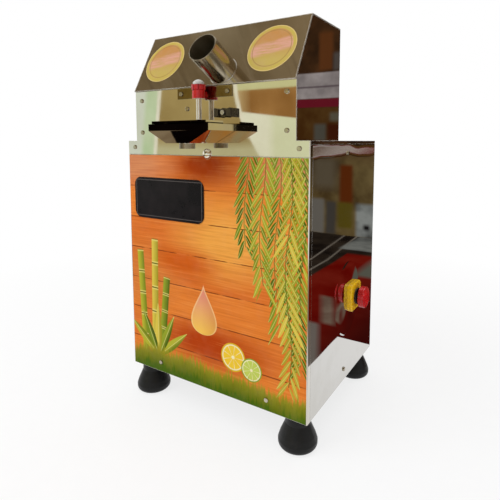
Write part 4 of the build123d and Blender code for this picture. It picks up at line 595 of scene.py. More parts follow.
def strand(s, paint, x, z, start, length, light, dark):
    """Paints a hanging strand with slim leaves along both sides."""
    sway = s.times(s.math("SINE", s.times(s.plus(z, start), STRAND_WAVE)), STRAND_SWAY)
    off = s.minus(s.minus(x, start), sway)
    far = s.math("ABSOLUTE", off)
    root = s.plus(z, s.math("DIVIDE", far, math.tan(SLIM_LEAN)))
    side = s.times(s.math("GREATER_THAN", off, 0.0), SLIM_STAGGER)
    step = s.plus(s.plus(s.math("DIVIDE", root, SLIM_PITCH), side), start * STRAND_SHIFT)
    draw = s.chance(s.math("FLOOR", step))
    across = s.cell(step)
    along = s.math("DIVIDE", far, s.between(draw, *SLIM_REACH))
    half = s.times(s.times(along, s.minus(1.0, along)), SLIM_FULL)
    foot = STRAND_TOP - length
    hanging = s.span(root, foot, foot + STRAND_FOOT)
    body = s.mix(s.span(across, *SLIM_RIB), s.mix(draw, dark, light), SLIM_RIB_TONE)
    leaves = s.times(s.span(s.minus(half, across), *SLIM_EDGE), hanging)
    stem = s.times(s.span(far, *STRAND_STEM), hanging)
    return s.mix(stem, s.mix(leaves, paint, body), STEM_TONE)


# Printed film: cane stalks and a fan of leaves, standing in the grass

# Stalks: place across, lean in degrees, length
CANES = ((-0.158, 93, 0.215), (-0.118, 84, 0.170), (-0.134, 89, 0.240))
CANE_FOOT_Z = 0.080
CANE_HALF = 0.0085
CANE_JOINTS = 5.0
CANE_SIDE = (0.92, 1.0, 1.0, 0.0)
CANE_ENDS = (0.0, 1.0, 0.008)
CANE_SHADE = (-0.9, 0.7)
JOINT_RING = (0.40, 0.44, 0.0, 0.75)
JOINT_RING_TONE = tone(226, 214, 120)
JOINT_LINE = (0.47, 0.48)
JOINT_LINE_TONE = tone(92, 92, 22)


def cane(s, paint, x, lean, length, light, dark):
    """Paints one cane stalk standing on its foot, with a ring at each joint."""
    turn = (0, -math.radians(lean), 0)
    local = s.moved(at(x, 0, CANE_FOOT_Z), turn, (length, 1, CANE_HALF))
    along, off, across = s.parts(local)
    cover = s.times(s.span(s.math("ABSOLUTE", across), *CANE_SIDE), s.band(along, *CANE_ENDS))
    body = s.mix(s.span(across, *CANE_SHADE), dark, light)
    joint = s.cell(s.times(along, CANE_JOINTS))
    body = s.mix(s.span(joint, *JOINT_RING), body, JOINT_RING_TONE)
    body = s.mix(s.span(joint, *JOINT_LINE), body, JOINT_LINE_TONE)
    return s.mix(cover, paint, body)


FAN_SEED = 11
FAN_AT = (-0.125, 0.088)
FAN_LEAVES = 5
FAN_FIRST = 40
FAN_STEP = 25
FAN_LENGTH = (0.085, 0.11)
FAN_WIDTH = 0.018
FAN_TAPER = (-1, 1, 1.25, 0.75)
FAN_EDGE = (0.0, 0.08)
FAN_SHADE = (-0.6, 0.25)
FAN_RIB = (0.04, 0.10, 0.7, 0.0)
FAN_RIB_TONE = tone(226, 220, 130)


def fan_leaf(s, paint, angle, length, light, dark):
    """Paints one pointed leaf of the fan with a pale midrib, lit on one half."""
    x, z = FAN_AT
    middle = at(x + math.cos(angle) * length / 2, 0, z + math.sin(angle) * length / 2)
    local = s.moved(middle, (0, -angle, 0), (length / 2, 1, FAN_WIDTH / 2))
    along, off, across = s.parts(local)
    side = s.math("ABSOLUTE", across)
    half = s.times(s.minus(1.0, s.times(along, along)), s.span(along, *FAN_TAPER))
    body = s.mix(s.span(across, *FAN_SHADE), dark, light)
    body = s.mix(s.span(side, *FAN_RIB), body, FAN_RIB_TONE)
    return s.mix(s.span(s.minus(half, side), *FAN_EDGE), paint, body)


def fan(s, paint):
    """Paints the fan of leaves, each with its own length."""
    draw = random.Random(FAN_SEED)
    for count in range(FAN_LEAVES):
        angle = math.radians(FAN_FIRST + FAN_STEP * count)
        length = draw.uniform(*FAN_LENGTH)
        paint = fan_leaf(s, paint, angle, length, *GREENS[count % len(GREENS)])
    return paint


# Printed film: a drop of juice and cut citrus

DROP_AT = (-0.012, 0, 0.205)
DROP_HALF = (0.030, 1, 0.048)
DROP_TAPER = (-1, 1, 1.54, 0.0)
DROP_EDGE = (0.0, 0.05)
DROP_RISE = (-0.9, 0.5)
DROP_TONES = (tone(240, 192, 84), tone(222, 142, 116))
DROP_SHADE = (-0.2, 0.9, 0.0, 0.45)
DROP_SHADE_TONE = tone(196, 108, 46)
DROP_SHINE = (0.05, 0.14, 0.55, 0.0)
DROP_SHINE_TONE = tone(250, 226, 160)


def drop(s, paint):
    """Paints one large drop of juice with a soft shine."""
    across, off, up = s.parts(s.moved(at(*DROP_AT), size=DROP_HALF))
    oval = s.math("SQRT", s.math("MAXIMUM", s.minus(1.0, s.times(up, up)), 0.0))
    half = s.times(oval, s.span(up, *DROP_TAPER))
    inside = s.minus(half, s.math("ABSOLUTE", across))
    body = s.mix(s.span(up, *DROP_RISE), *DROP_TONES)
    body = s.mix(s.span(across, *DROP_SHADE), body, DROP_SHADE_TONE)
    body = s.mix(s.span(inside, *DROP_SHINE), body, DROP_SHINE_TONE)
    return s.mix(s.span(inside, *DROP_EDGE), paint, body)


# Slices: place across and up, radius, rind, flesh
SLICES = (
    (0.052, 0.132, 0.026, tone(214, 176, 30), tone(236, 196, 52)),
    (0.090, 0.119, 0.021, tone(132, 160, 40), tone(190, 204, 90)),
)
SEGMENTS = 9
SEGMENT_SIDE = (0.44, 0.48, 1.0, 0.0)
SEGMENT_ENDS = (0.12, 0.80, 0.03)
PITH = tone(240, 232, 190)
RIND_START = (0.86, 0.90)
SLICE_EDGE = (0.97, 1.0, 1.0, 0.0)


def citrus(s, paint, x, z, radius, rind, flesh):
    """Paints one cut citrus slice with its segments."""
    across, off, up = s.parts(s.moved(at(x, 0, z), size=(radius, 1, radius)))
    far = s.math("SQRT", s.plus(s.times(across, across), s.times(up, up)))
    wedge = s.cell(s.times(s.math("ARCTAN2", up, across), SEGMENTS / math.tau))
    segment = s.times(s.span(wedge, *SEGMENT_SIDE), s.band(far, *SEGMENT_ENDS))
    face = s.mix(s.span(far, *RIND_START), s.mix(segment, PITH, flesh), rind)
    return s.mix(s.span(far, *SLICE_EDGE), paint, face)


# Printed film: grass, and the film itself

BLADE_NOISE = (1.0, 2.0, 0.6, (0.0045, 1, 0.05))
BLADE_RISE = (0.3, 0.7, -0.010, 0.010)
BLADE_SHADE = (0.42, 0.66, 0.0, 0.5)
BLADE_TONE = tone(54, 82, 4)
HILL_NOISE = (1.0, 1.0, 0.4, (0.09, 1, 1))
HILL_RISE = (0.3, 0.7, -0.008, 0.008)
GRASS_TOP_Z = (0.098, 0.006)
GRASS_SHADE = (0.062, 0.100)
GRASS_TONES = (tone(70, 100, 6), tone(166, 152, 34))
FILM_HAZE = (30.0, 5.0, 0.6)
FILM_HAZED = (0.45, 0.8, 0.0, 0.04)
FILM_HAZE_TONE = tone(240, 214, 180)
FILM_ROUGH = (0.3, 0.7, 0.36, 0.5)
FILM_GLOSS = 0.05
FILM_GRAIN = (90.0, 2.0, 0.0001, 0.3)


def grass(s, paint, z):
    """Paints a strip of grass along the foot of the print."""
    blades = s.noise(*BLADE_NOISE)
    rise = s.plus(s.span(blades, *BLADE_RISE), s.span(s.noise(*HILL_NOISE), *HILL_RISE))
    height = s.plus(z, rise)
    green = s.mix(s.span(height, *GRASS_SHADE), *GRASS_TONES)
    green = s.mix(s.span(blades, *BLADE_SHADE), green, BLADE_TONE)
    return s.mix(s.fall(height, *GRASS_TOP_Z), paint, green)


def print_film():
    """Printed film on the front: planks, grass, hanging leaves, cane, a drop and cut fruit."""
    s = Shader("print_film")
    x, y, z = s.axes()
    paint = boards(s, z)
    for start, length, colours in STRANDS:
        paint = strand(s, paint, x, z, start, length, *GREENS[colours])
    for stalk, colours in zip(CANES, GREENS):
        paint = cane(s, paint, *stalk, *colours)
    paint = fan(s, drop(s, paint))
    for slice_row in SLICES:
        paint = citrus(s, paint, *slice_row)
    paint = grass(s, paint, z)
    haze = s.noise(*FILM_HAZE)
    s.set(Base_Color=s.mix(s.span(haze, *FILM_HAZED), paint, FILM_HAZE_TONE))
    s.set(Roughness=s.span(haze, *FILM_ROUGH), Specular_IOR_Level=FILM_GLOSS)
    s.set(Normal=s.grain(*FILM_GRAIN))
    return s.material


# Black plate and stickers

PLATE_LINE = (0.004, 0.0052, 0.0003)
PLATE_LINE_TONE = tone(86, 80, 78)
PLATE_HAZE = (26.0, 5.0, 0.6, 0.4, 0.8)
PLATE_TONES = (tone(14, 12, 15), tone(34, 29, 31))
PLATE_ROUGH = (0.25, 0.42)
PLATE_GLOSS = 0.12


def blank_plate():
    """Black plate with nothing on it but a thin border."""
    s = Shader("blank_plate")
    low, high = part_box("name_plate")
    half = (high - low) / 2
    x, y, z = s.parts(s.moved((low + high) / 2))
    in_x = s.minus(half.x, s.math("ABSOLUTE", x))
    in_z = s.minus(half.z, s.math("ABSOLUTE", z))
    line = s.band(s.math("MINIMUM", in_x, in_z), *PLATE_LINE)
    haze = s.mottle(*PLATE_HAZE)
    s.set(Base_Color=s.mix(line, s.mix(haze, *PLATE_TONES), PLATE_LINE_TONE))
    s.set(Roughness=s.between(haze, *PLATE_ROUGH), Specular_IOR_Level=PLATE_GLOSS)
    return s.material


STICKER_R = 0.0445
STICKER_FACE = (-0.5, 0.4)
STICKER_TONES = (tone(184, 160, 78), tone(184, 130, 68))
STICKER_BAND = (-0.22, 0.30, 0.08)
BAND_TILT = -0.18
BAND_TONE = tone(206, 150, 130)
STRIPES = (1.0, 3.0, 0.6, (0.03, 0.004, 0.004))
STRIPED = (0.3, 0.6)
STICKER_LINE = (0.78, 0.81, 0.01)
STICKER_LINE_TONE = tone(158, 122, 56)
STICKER_HAZE = (70.0, 4.0, 0.6)
STICKER_HAZED = (0.4, 0.8, 0.0, 0.3)
STICKER_HAZE_TONE = tone(186, 150, 110)
STICKER_ROUGH = (0.3, 0.7, 0.3, 0.45)
STICKER_GLOSS = 0.2

# Rim and border: where they start, as a share of the radius, and their colour
STICKER_RIMS = (((0.84, 0.87), tone(186, 164, 70)), ((0.965, 0.985), tone(214, 188, 120)))


def sticker_film():
    """Round stickers: olive-yellow rim, tan face and a plain pinkish band."""
    s = Shader("sticker_film")
    low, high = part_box("hood_stickers")
    centre = (0, (low.y + high.y) / 2, (low.z + high.z) / 2)
    x, up, out = s.parts(s.moved(centre, (SLOPE_TURN, 0, 0)))
    right = s.math("GREATER_THAN", x, (low.x + high.x) / 2)
    middle = s.between(right, low.x + STICKER_R, high.x - STICKER_R)
    across = s.math("DIVIDE", s.minus(x, middle), STICKER_R)
    rise = s.math("DIVIDE", up, STICKER_R)
    far = s.vector("LENGTH", s.joined(across, rise, 0.0))
    tilted = s.plus(rise, s.times(across, BAND_TILT))
    stripes = s.span(s.noise(*STRIPES), *STRIPED)
    face = s.mix(s.span(rise, *STICKER_FACE), *STICKER_TONES)
    face = s.mix(s.times(s.band(tilted, *STICKER_BAND), stripes), face, BAND_TONE)
    face = s.mix(s.band(far, *STICKER_LINE), face, STICKER_LINE_TONE)
    for start, colour in STICKER_RIMS:
        face = s.mix(s.span(far, *start), face, colour)
    haze = s.noise(*STICKER_HAZE)
    s.set(Base_Color=s.mix(s.span(haze, *STICKER_HAZED), face, STICKER_HAZE_TONE))
    s.set(Roughness=s.span(haze, *STICKER_ROUGH), Specular_IOR_Level=STICKER_GLOSS)
    return s.material


# Materials for the frame's nodes

# Polished sheets: depth of the waves, radius of the eased edges that carry the painted highlight
SHEETS = {
    "polished_steel": (0.0004, 0.0012),
    "wall_sheet": (0.00025, 0.0010),
    "hood_sheet": (0.0003, 0.0028),
}
COVER_WAVE = 0.0004

# Plain metals: light, dark, roughness
METALS = {
    "plain_steel": (tone(206, 204, 198), tone(160, 156, 148), (0.18, 0.38)),
    "zinc": (tone(214, 212, 200), tone(164, 160, 146), (0.16, 0.4)),
    "bronze": (tone(205, 160, 88), tone(150, 105, 52), (0.2, 0.42)),
    "dark_plate": (tone(150, 134, 92), tone(118, 102, 66), (0.04, 0.12)),
    "dark_knob": (tone(96, 90, 78), tone(62, 56, 48), (0.2, 0.4)),
    "screw_steel": (tone(196, 188, 168), tone(150, 142, 124), (0.1, 0.25)),
    "bolt_steel": (tone(240, 236, 222), tone(210, 204, 188), (0.06, 0.16)),
}

# Painted metals: light, dark
PAINTS = {
    "frame_steel": (tone(118, 120, 122), tone(84, 87, 90)),
    "cast_iron": (tone(96, 104, 112), tone(62, 70, 78)),
    "motor_paint": (tone(70, 96, 120), tone(42, 66, 90)),
}

# Plastics: light, dark, roughness
PLASTICS = {
    "red_plastic": (*RED, (0.18, 0.36)),
    "yellow_plastic": (tone(250, 200, 14), tone(238, 182, 8), (0.2, 0.34)),
    "black_plastic": (tone(34, 34, 36), tone(20, 20, 22), (0.3, 0.5)),
    "hose": (tone(206, 210, 206), tone(176, 182, 178), (0.2, 0.4)),
}

MATERIALS = {
    "black_plate": blank_plate(),
    "print": print_film(),
    "sticker": sticker_film(),
    "rubber": rubber(),
    "tray_sheet": tray_sheet(),
}
for make, table in (
    (polished_sheet, SHEETS),
    (plain_metal, METALS),
    (painted_metal, PAINTS),
    (moulded, PLASTICS),
):
    for label, look in table.items():
        MATERIALS[label] = make(label, *look)

# Nodes whose look differs from their slot's
SPECIAL = {
    "front_plate": MATERIALS["wall_sheet"],
    "hood": MATERIALS["hood_sheet"],
    "front_cover": polished(Shader("cover_sheet"), COVER_WAVE, None),
    "side_panel_right": dented_sheet(),
    "juice_tray": MATERIALS["tray_sheet"],
    "strainer": MATERIALS["tray_sheet"],
    "tap_body": tap_skin(),
    "tap_handle": handle_skin(),
    "panel_screws": MATERIALS["screw_steel"],
    "cover_bolt": MATERIALS["bolt_steel"],
    "feed_tube": tube_steel(),
}


def dress(node, material):
    """Gives a CAD node its material in every slot."""
    shown = nodes[node]
    if not shown.material_slots:
        shown.data.materials.append(material)
    for slot in shown.material_slots:
        slot.material = material


for row in frame["record"]["subparts"]:
    dress(row["node"], SPECIAL.get(row["node"], MATERIALS[row["material_slot"]]))


# Pieces made here

def linked(name, data):
    """New object in the scene."""
    made = bpy.data.objects.new(name, data)
    bpy.context.scene.collection.objects.link(made)
    return made


def looped(name, rings, material):
    """Smooth skin over rings of points, whose last ring joins the first."""
    size = len(rings[0])
    faces = []
    for row in range(len(rings)):
        this = row * size
        following = (row + 1) % len(rings) * size
        for column in range(size):
            beside = (column + 1) % size
            faces.append((this + column, this + beside, following + beside, following + column))
    mesh = bpy.data.meshes.new(name)
    mesh.from_pydata([tuple(point) for ring in rings for point in ring], [], faces)
    mesh.polygons.foreach_set("use_smooth", [True] * len(mesh.polygons))
    mesh.materials.append(material)
    return linked(name, mesh)


HOSE_BEND = 0.035
HOSE_STEPS = 16
HOSE_SIDES = 24
HOSE_WALL = 0.0018
HOSE_SAG = 0.0012


def hose_route(low, high, radius):
    """Points of the hose's route: off the tap, round the corner and back to the inlet."""
    front, left, level = low.y + radius, low.x + radius, (low.z + high.z) / 2
    hung = level - HOSE_SAG
    return (
        (high.x, front, level),
        (left + 2 * HOSE_BEND, front, hung),
        (left, front, hung),
        (left, front + 2 * HOSE_BEND, hung),
        (left, high.y, level),
    )


def smooth_line(route):
    """Points along the smooth curve that a route's points draw."""
    curve = bpy.data.curves.new("route", "CURVE")
    curve.dimensions = "3D"
    spline = curve.splines.new("NURBS")
    spline.points.add(len(route) - 1)
    for point, place in zip(spline.points, route):
        point.co = (*place, 1.0)
    spline.order_u = 3
    spline.use_endpoint_u = True
    spline.resolution_u = HOSE_STEPS
    carrier = bpy.data.objects.new("route", curve)
    drawn = bpy.data.meshes.new_from_object(carrier)
    points = [vertex.co.copy() for vertex in drawn.vertices]
    bpy.data.objects.remove(carrier)
    bpy.data.curves.remove(curve)
    bpy.data.meshes.remove(drawn)
    return points


def rinse_hose():
    """Clear hose from the water inlet to the tap, open at both ends."""
    low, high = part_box("rinse_hose")
    radius = (high.z - low.z) / 2
    path = smooth_line(hose_route(low, high, radius))
    skin, bore = [], []
    for count, point in enumerate(path):
        along = (path[min(count + 1, len(path) - 1)] - path[max(count - 1, 0)]).normalized()
        across = along.cross(Vector((0, 0, 1))).normalized()
        up = across.cross(along)
        for rings, reach in ((skin, radius), (bore, radius - HOSE_WALL)):
            ring = []
            for side in range(HOSE_SIDES):
                turn = math.tau * side / HOSE_SIDES
                ring.append(point + (across * math.cos(turn) + up * math.sin(turn)) * reach)
            rings.append(ring)
    hose = looped("clear_hose", skin + bore[::-1], MATERIALS["hose"])
    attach(hose, "machine")
    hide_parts("rinse_hose")


WELD_SEED = 120
WELD_DEPTH = 0.03123
WELD_R = 0.0254
WELD_BEAD = 0.0010
WELD_STEPS = 120
WELD_SIDES = 8
WELD_RIPPLES = 36
WELD_RIPPLE = 0.18
WELD_UNEVEN = 0.06


def tube_weld():
    """Rippled weld where the feed tube passes through the hood."""
    draw = random.Random(WELD_SEED)
    tilt = Matrix.Rotation(SLOPE_TURN, 3, "X")
    middle = TUBE_MOUTH - TUBE_AXIS * WELD_DEPTH
    rings = []
    for step in range(WELD_STEPS):
        turn = math.tau * step / WELD_STEPS
        ripple = 1 + WELD_RIPPLE * abs(math.sin(turn * WELD_RIPPLES / 2))
        bead = WELD_BEAD * (ripple + draw.uniform(-WELD_UNEVEN, WELD_UNEVEN))
        ring = []
        for side in range(WELD_SIDES):
            lean = math.tau * side / WELD_SIDES
            reach = WELD_R + bead * math.cos(lean)
            place = Vector((reach * math.cos(turn), reach * math.sin(turn), bead * math.sin(lean)))
            ring.append(middle + tilt @ place)
        rings.append(ring)
    weld = looped("tube_weld", rings, MATERIALS["plain_steel"])
    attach(weld, "machine")


rinse_hose()
tube_weld()


# Stage: floor and light

SHEET_SIDES = {"x": (1, 2), "y": (0, 2), "z": (0, 1)}


def flat(name, axis, level, first, second):
    """Flat sheet square to an axis, between limits on the other two."""
    across, along = SHEET_SIDES[axis]
    corners = []
    for u, v in ((0, 0), (1, 0), (1, 1), (0, 1)):
        corner = [level] * 3
        corner[across], corner[along] = first[u], second[v]
        corners.append(tuple(at(*corner)))
    mesh = bpy.data.meshes.new(name)
    mesh.from_pydata(corners, [], [(0, 1, 2, 3)])
    return linked(name, mesh)


def seen(tree):
    """One for rays that show the background itself: seen, mirrored or through glass."""
    path = tree.nodes.new("ShaderNodeLightPath")
    share = path.outputs["Is Camera Ray"]
    for ray in ("Is Glossy Ray", "Is Transmission Ray"):
        either = tree.nodes.new("ShaderNodeMath")
        either.operation = "MAXIMUM"
        tree.links.new(share, either.inputs[0])
        tree.links.new(path.outputs[ray], either.inputs[1])
        share = either.outputs[0]
    return share


def studio_world():
    """White where it is seen, softer where it lights."""
    world = bpy.data.worlds.new("studio")
    bpy.context.scene.world = world
    world.use_nodes = True
    tree = world.node_tree
    shown = tree.nodes["Background"]
    fill = tree.nodes.new("ShaderNodeBackground")
    for light, strength in ((shown, 1.0), (fill, FILL_LIGHT)):
        light.inputs["Color"].default_value = WHITE
        light.inputs["Strength"].default_value = strength
    mix = tree.nodes.new("ShaderNodeMixShader")
    for socket, value in zip(mix.inputs, (seen(tree), fill.outputs[0], shown.outputs[0])):
        tree.links.new(value, socket)
    tree.links.new(mix.outputs[0], tree.nodes["World Output"].inputs["Surface"])


def studio_floor():
    """Pale floor that fades to white away from the object and keeps its shadow."""
    floor = flat("floor", "z", 0.0, FLOOR_REACH, FLOOR_REACH)
    s = Shader("floor")
    s.set(Base_Color=s.mix(s.mottle(*FLOOR_SPECKS), *FLOOR_TONES), Roughness=FLOOR_ROUGH)
    far = s.vector("LENGTH", s.moved(CABINET))
    share = s.times(seen(s.tree), s.span(far, *FLOOR_FADE))
    s.blend(share, s.surface.outputs[0], s.add("ShaderNodeEmission").outputs[0])
    floor.data.materials.append(s.material)


def area_light(name, place, target, size, power):
    """Soft square lamp aimed at a point."""
    lamp = bpy.data.lights.new(name, "AREA")
    lamp.shape = "SQUARE"
    lamp.size = size
    lamp.energy = power
    made = linked(name, lamp)
    made.location = at(*place)
    made.rotation_euler = (at(*target) - made.location).to_track_quat("-Z", "Y").to_euler()


# Stage: painted cards, which stand for the surroundings that the polished steel mirrors

def card(name, axis, level, limits, soft, view):
    """Painted card square to an axis, with soft borders, which only mirrored rays meet."""
    s = Shader(name)
    place = s.axes()
    reach = []
    covers = []
    for side, (low, high), edge in zip(SHEET_SIDES[axis], limits, soft):
        reach.append((low - edge, high + edge))
        covers.append(s.band(place[side], low, high, edge))
    s.glow(view(s, *place), s.times(*covers))
    made = flat(name, axis, level, *reach)
    made.data.materials.append(s.material)
    made.visible_camera = False
    made.visible_diffuse = False
    made.visible_transmission = False
    made.visible_shadow = False


def blocks(s, paint, x, z, clouds, table):
    """Paints soft-edged blocks of one or two tones, each over the last."""
    for xs, zs, soft, *tones in table:
        cover = s.band(z, *zs, soft)
        if xs is not None:
            cover = s.times(s.band(x, *xs, soft), cover)
        colour = tones[0] if len(tones) == 1 else s.mix(clouds, *tones)
        paint = s.mix(cover, paint, colour)
    return paint


CLOUD = (0.35, 0.65)
WALL_CLOUDS = (3.0, 3.0, 0.5, *CLOUD)
GROUND_CLOUDS = (5.0, 3.0, 0.5, *CLOUD)
YARD_CLOUDS = (6.0, 3.0, 0.5, *CLOUD)
BACK_CLOUDS = (9.0, 3.0, 0.5, *CLOUD)
OVER_CLOUDS = (3.2, 4.0, 0.6, *CLOUD)
PAVING_CLOUDS = (2.5, 4.0, 0.5, *CLOUD)

# In front, from left to right
GREEN_EDGE = (-1.68, -1.64)
GREEN_PALE = tone(232, 242, 230)
GREEN_TONES = (tone(196, 226, 180), tone(220, 238, 204))
LEFT_BAR = (-1.555, -1.525, 0.006)
LEFT_BAR_EDGE = (-1.545, -1.535)
LEFT_BAR_Z = 0.643
LEFT_BAR_LEAN = 0.147
LEFT_BAR_TONE = tone(250, 250, 232)
BEIGE_FOOT = (0.46, 0.52)
BEIGE_PALE = tone(206, 202, 160)
BEIGE_TONES = (tone(160, 138, 86), tone(184, 164, 108))
RIGHT_BAR = (-0.958, -0.932, 0.005)
RIGHT_BAR_EDGE = (-0.95, -0.94)
RIGHT_BAR_FOOT = (0.5, 0.56)
RIGHT_BAR_TOP = 0.80
RIGHT_BAR_LEAN = 0.12
RIGHT_BAR_BEND = 0.8
RIGHT_BAR_TONE = tone(250, 248, 226)
MINT_EDGE = (-0.74, -0.68)
MINT_TONES = (tone(248, 250, 226), tone(232, 238, 200))
BOARD_EDGE = (-0.93, -0.84)
BOARD_FOOT = (0.660, 0.668)
BOARD_X = -0.86
BOARD_LEAN = 0.125
BOARD_PALE = tone(206, 180, 128)
BOARD_TONES = (tone(136, 92, 42), tone(178, 132, 76))
BOARD_TOP = (0.782, 0.790)
BOARD_TOP_TONE = tone(222, 222, 168)


def front_view(s, x, y, z):
    """In front: pale green, a beige stretch between two bright bars, an orange board."""
    clouds = s.mottle(*WALL_CLOUDS)
    left = s.minus(x, s.times(s.minus(z, LEFT_BAR_Z), LEFT_BAR_LEAN))
    down = s.minus(RIGHT_BAR_TOP, z)
    bend = s.plus(s.times(down, RIGHT_BAR_LEAN), s.times(s.times(down, down), RIGHT_BAR_BEND))
    right = s.minus(x, bend)
    green = s.mix(s.span(left, *GREEN_EDGE), GREEN_PALE, s.mix(clouds, *GREEN_TONES))
    beige = s.mix(s.span(z, *BEIGE_FOOT), BEIGE_PALE, s.mix(clouds, *BEIGE_TONES))
    mint = s.mix(s.span(x, *MINT_EDGE), *MINT_TONES)
    board = s.mix(s.span(x, *BOARD_EDGE), BOARD_PALE, s.mix(clouds, *BOARD_TONES))
    foot = s.plus(z, s.times(s.minus(x, BOARD_X), BOARD_LEAN))
    board = s.mix(s.span(foot, *BOARD_FOOT), mint, board)
    board = s.mix(s.span(z, *BOARD_TOP), board, BOARD_TOP_TONE)
    paint = s.mix(s.span(left, *LEFT_BAR_EDGE), green, beige)
    paint = s.mix(s.span(right, *RIGHT_BAR_EDGE), paint, board)
    paint = s.mix(s.band(left, *LEFT_BAR), paint, LEFT_BAR_TONE)
    bar = s.times(s.band(right, *RIGHT_BAR), s.span(z, *RIGHT_BAR_FOOT))
    return s.mix(bar, paint, RIGHT_BAR_TONE)


DARK_EDGE = (1.06, 1.08)
DARK_TONES = (tone(12, 10, 8), tone(30, 24, 20))
YELLOW_TONES = (tone(236, 222, 150), tone(206, 198, 170))


def right_front_view(s, x, y, z):
    """In front and to the right: dark, then pale yellow."""
    clouds = s.mottle(*WALL_CLOUDS)
    return s.mix(s.span(x, *DARK_EDGE), s.mix(clouds, *DARK_TONES), s.mix(clouds, *YELLOW_TONES))


UPRIGHT_NOISE = (1.0, 3.0, 0.6, (1, 0.22, 2.0))
UPRIGHT_BROWN = (0.35, 0.55)
UPRIGHT_TONES = (tone(74, 60, 44), tone(166, 136, 98))
UPRIGHT_PALE = (0.60, 0.66)
UPRIGHT_PALE_TONE = tone(226, 216, 196)


def right_view(s, x, y, z):
    """To the right: brown, with upright dark and pale streaks."""
    streak = s.noise(*UPRIGHT_NOISE)
    paint = s.mix(s.span(streak, *UPRIGHT_BROWN), *UPRIGHT_TONES)
    return s.mix(s.span(streak, *UPRIGHT_PALE), paint, UPRIGHT_PALE_TONE)


CORNER_Y = -1.20
CORNER_LEAN = 1.23
CORNER_SIDE = (-1.060, -1.052)
CORNER_END = (-0.97, -0.95)
CORNER_TONES = (tone(126, 108, 84), tone(150, 134, 108))
GROUND_TONES = (tone(6, 3, 3), tone(16, 9, 7))


def ground_view(s, x, y, z):
    """On the ground to the left: black, with a brown-grey corner."""
    clouds = s.mottle(*GROUND_CLOUDS)
    lean = s.minus(x, s.times(s.minus(y, CORNER_Y), CORNER_LEAN))
    past = s.math("MAXIMUM", s.span(lean, *CORNER_SIDE), s.span(y, *CORNER_END))
    return s.mix(past, s.mix(clouds, *CORNER_TONES), s.mix(clouds, *GROUND_TONES))


NEAR_TONES = (tone(196, 140, 70), tone(176, 160, 120))


def near_view(s, x, y, z):
    """On the ground in front: orange-beige."""
    return s.mix(s.mottle(*YARD_CLOUDS), *NEAR_TONES)


OVER_TONES = (tone(108, 92, 66), tone(128, 112, 86))
OVER_RIGHT = (-0.95, -0.6, 0.0, 0.5)
OVER_RIGHT_TONE = tone(150, 130, 100)
OVER_PALE_X = (-1.35, -0.95, 0.12)
OVER_PALE_Y = (-0.80, -0.58, 0.0, 0.5)
OVER_PALE_TONE = tone(166, 152, 126)
OVER_NOISE = (1.0, 3.0, 0.6, (0.05, 0.6, 1))
OVER_STREAK = (0.55, 0.72, 0.0, 0.4)
OVER_STREAK_TONE = tone(150, 134, 110)
OVER_DARK = (0.28, 0.42, 0.35, 0.0)
OVER_DARK_TONE = tone(66, 50, 36)


def over_view(s, x, y, z):
    """Overhead: brown-grey, paler along the middle, with long streaks."""
    streak = s.noise(*OVER_NOISE)
    paint = s.mix(s.mottle(*OVER_CLOUDS), *OVER_TONES)
    paint = s.mix(s.span(x, *OVER_RIGHT), paint, OVER_RIGHT_TONE)
    pale = s.times(s.band(x, *OVER_PALE_X), s.span(y, *OVER_PALE_Y))
    paint = s.mix(pale, paint, OVER_PALE_TONE)
    paint = s.mix(s.span(streak, *OVER_STREAK), paint, OVER_STREAK_TONE)
    return s.mix(s.span(streak, *OVER_DARK), paint, OVER_DARK_TONE)


BACK_TONES = (tone(42, 28, 18), tone(74, 48, 28))

# Blocks behind: limits across, or none for a strip, limits up, softness, tones
BACK_BLOCKS = (
    ((0.776, 0.851), (0.885, 1.08), 0.01, tone(92, 54, 28)),
    ((0.721, 0.771), (0.88, 0.97), 0.01, tone(78, 72, 70)),
    (None, (0.737, 0.873), 0.004, tone(128, 122, 126), tone(166, 160, 164)),
    (None, (0.795, 0.803), 0.004, tone(84, 72, 80)),
    (None, (0.690, 0.735), 0.003, tone(102, 24, 38)),
    (None, (0.515, 0.688), 0.004, tone(66, 40, 16), tone(84, 60, 30)),
    ((0.726, 0.786), (0.615, 0.66), 0.01, tone(88, 84, 72)),
    ((0.81, 0.88), (0.51, 0.60), 0.01, tone(76, 74, 68)),
    ((0.716, 0.80), (0.51, 0.60), 0.01, tone(62, 26, 12)),
    (None, (-1.0, 0.43), 0.07, tone(70, 54, 30), tone(108, 92, 58)),
    ((0.79, 0.93), (0.25, 0.42), 0.03, tone(90, 80, 64)),
    ((0.70, 0.77), (0.17, 0.38), 0.01, tone(92, 42, 14)),
    ((0.86, 0.94), (0.0, 0.19), 0.01, tone(104, 100, 94)),
    ((0.79, 0.85), (0.0, 0.18), 0.01, tone(66, 62, 58)),
    ((0.70, 0.78), (0.04, 0.18), 0.01, tone(90, 78, 24)),
    ((0.55, 0.68), (0.0, 0.18), 0.01, tone(78, 80, 78), tone(140, 144, 142)),
    ((0.605, 0.64), (0.04, 0.07), 0.01, tone(26, 24, 24)),
)


def back_view(s, x, y, z):
    """Behind: a dark shop front with a white and a red strip."""
    clouds = s.mottle(*BACK_CLOUDS)
    return blocks(s, s.mix(clouds, *BACK_TONES), x, z, clouds, BACK_BLOCKS)


MAT_TONES = (tone(100, 10, 4), tone(114, 28, 18))
# Darker red near the machine: painted shadow of the machine on the mat
MAT_SHADOW = (0.26, 0.44, 0.75, 0.0)
MAT_SHADOW_TONE = tone(30, 8, 8)
MAT_SIDE = (0.588, 0.598)
MAT_END = (1.08, 1.12)
BLACK_TONES = (tone(24, 19, 15), tone(48, 40, 32))
JOINT_XS = (0.625, 0.69)
JOINT_BEND = (0.95, 1.45, 0.0, 0.045)
JOINT_WIDTH = (0.0, 0.008, 0.003)
JOINT_TONE = tone(120, 112, 102)
YARD_LEAN = 0.44

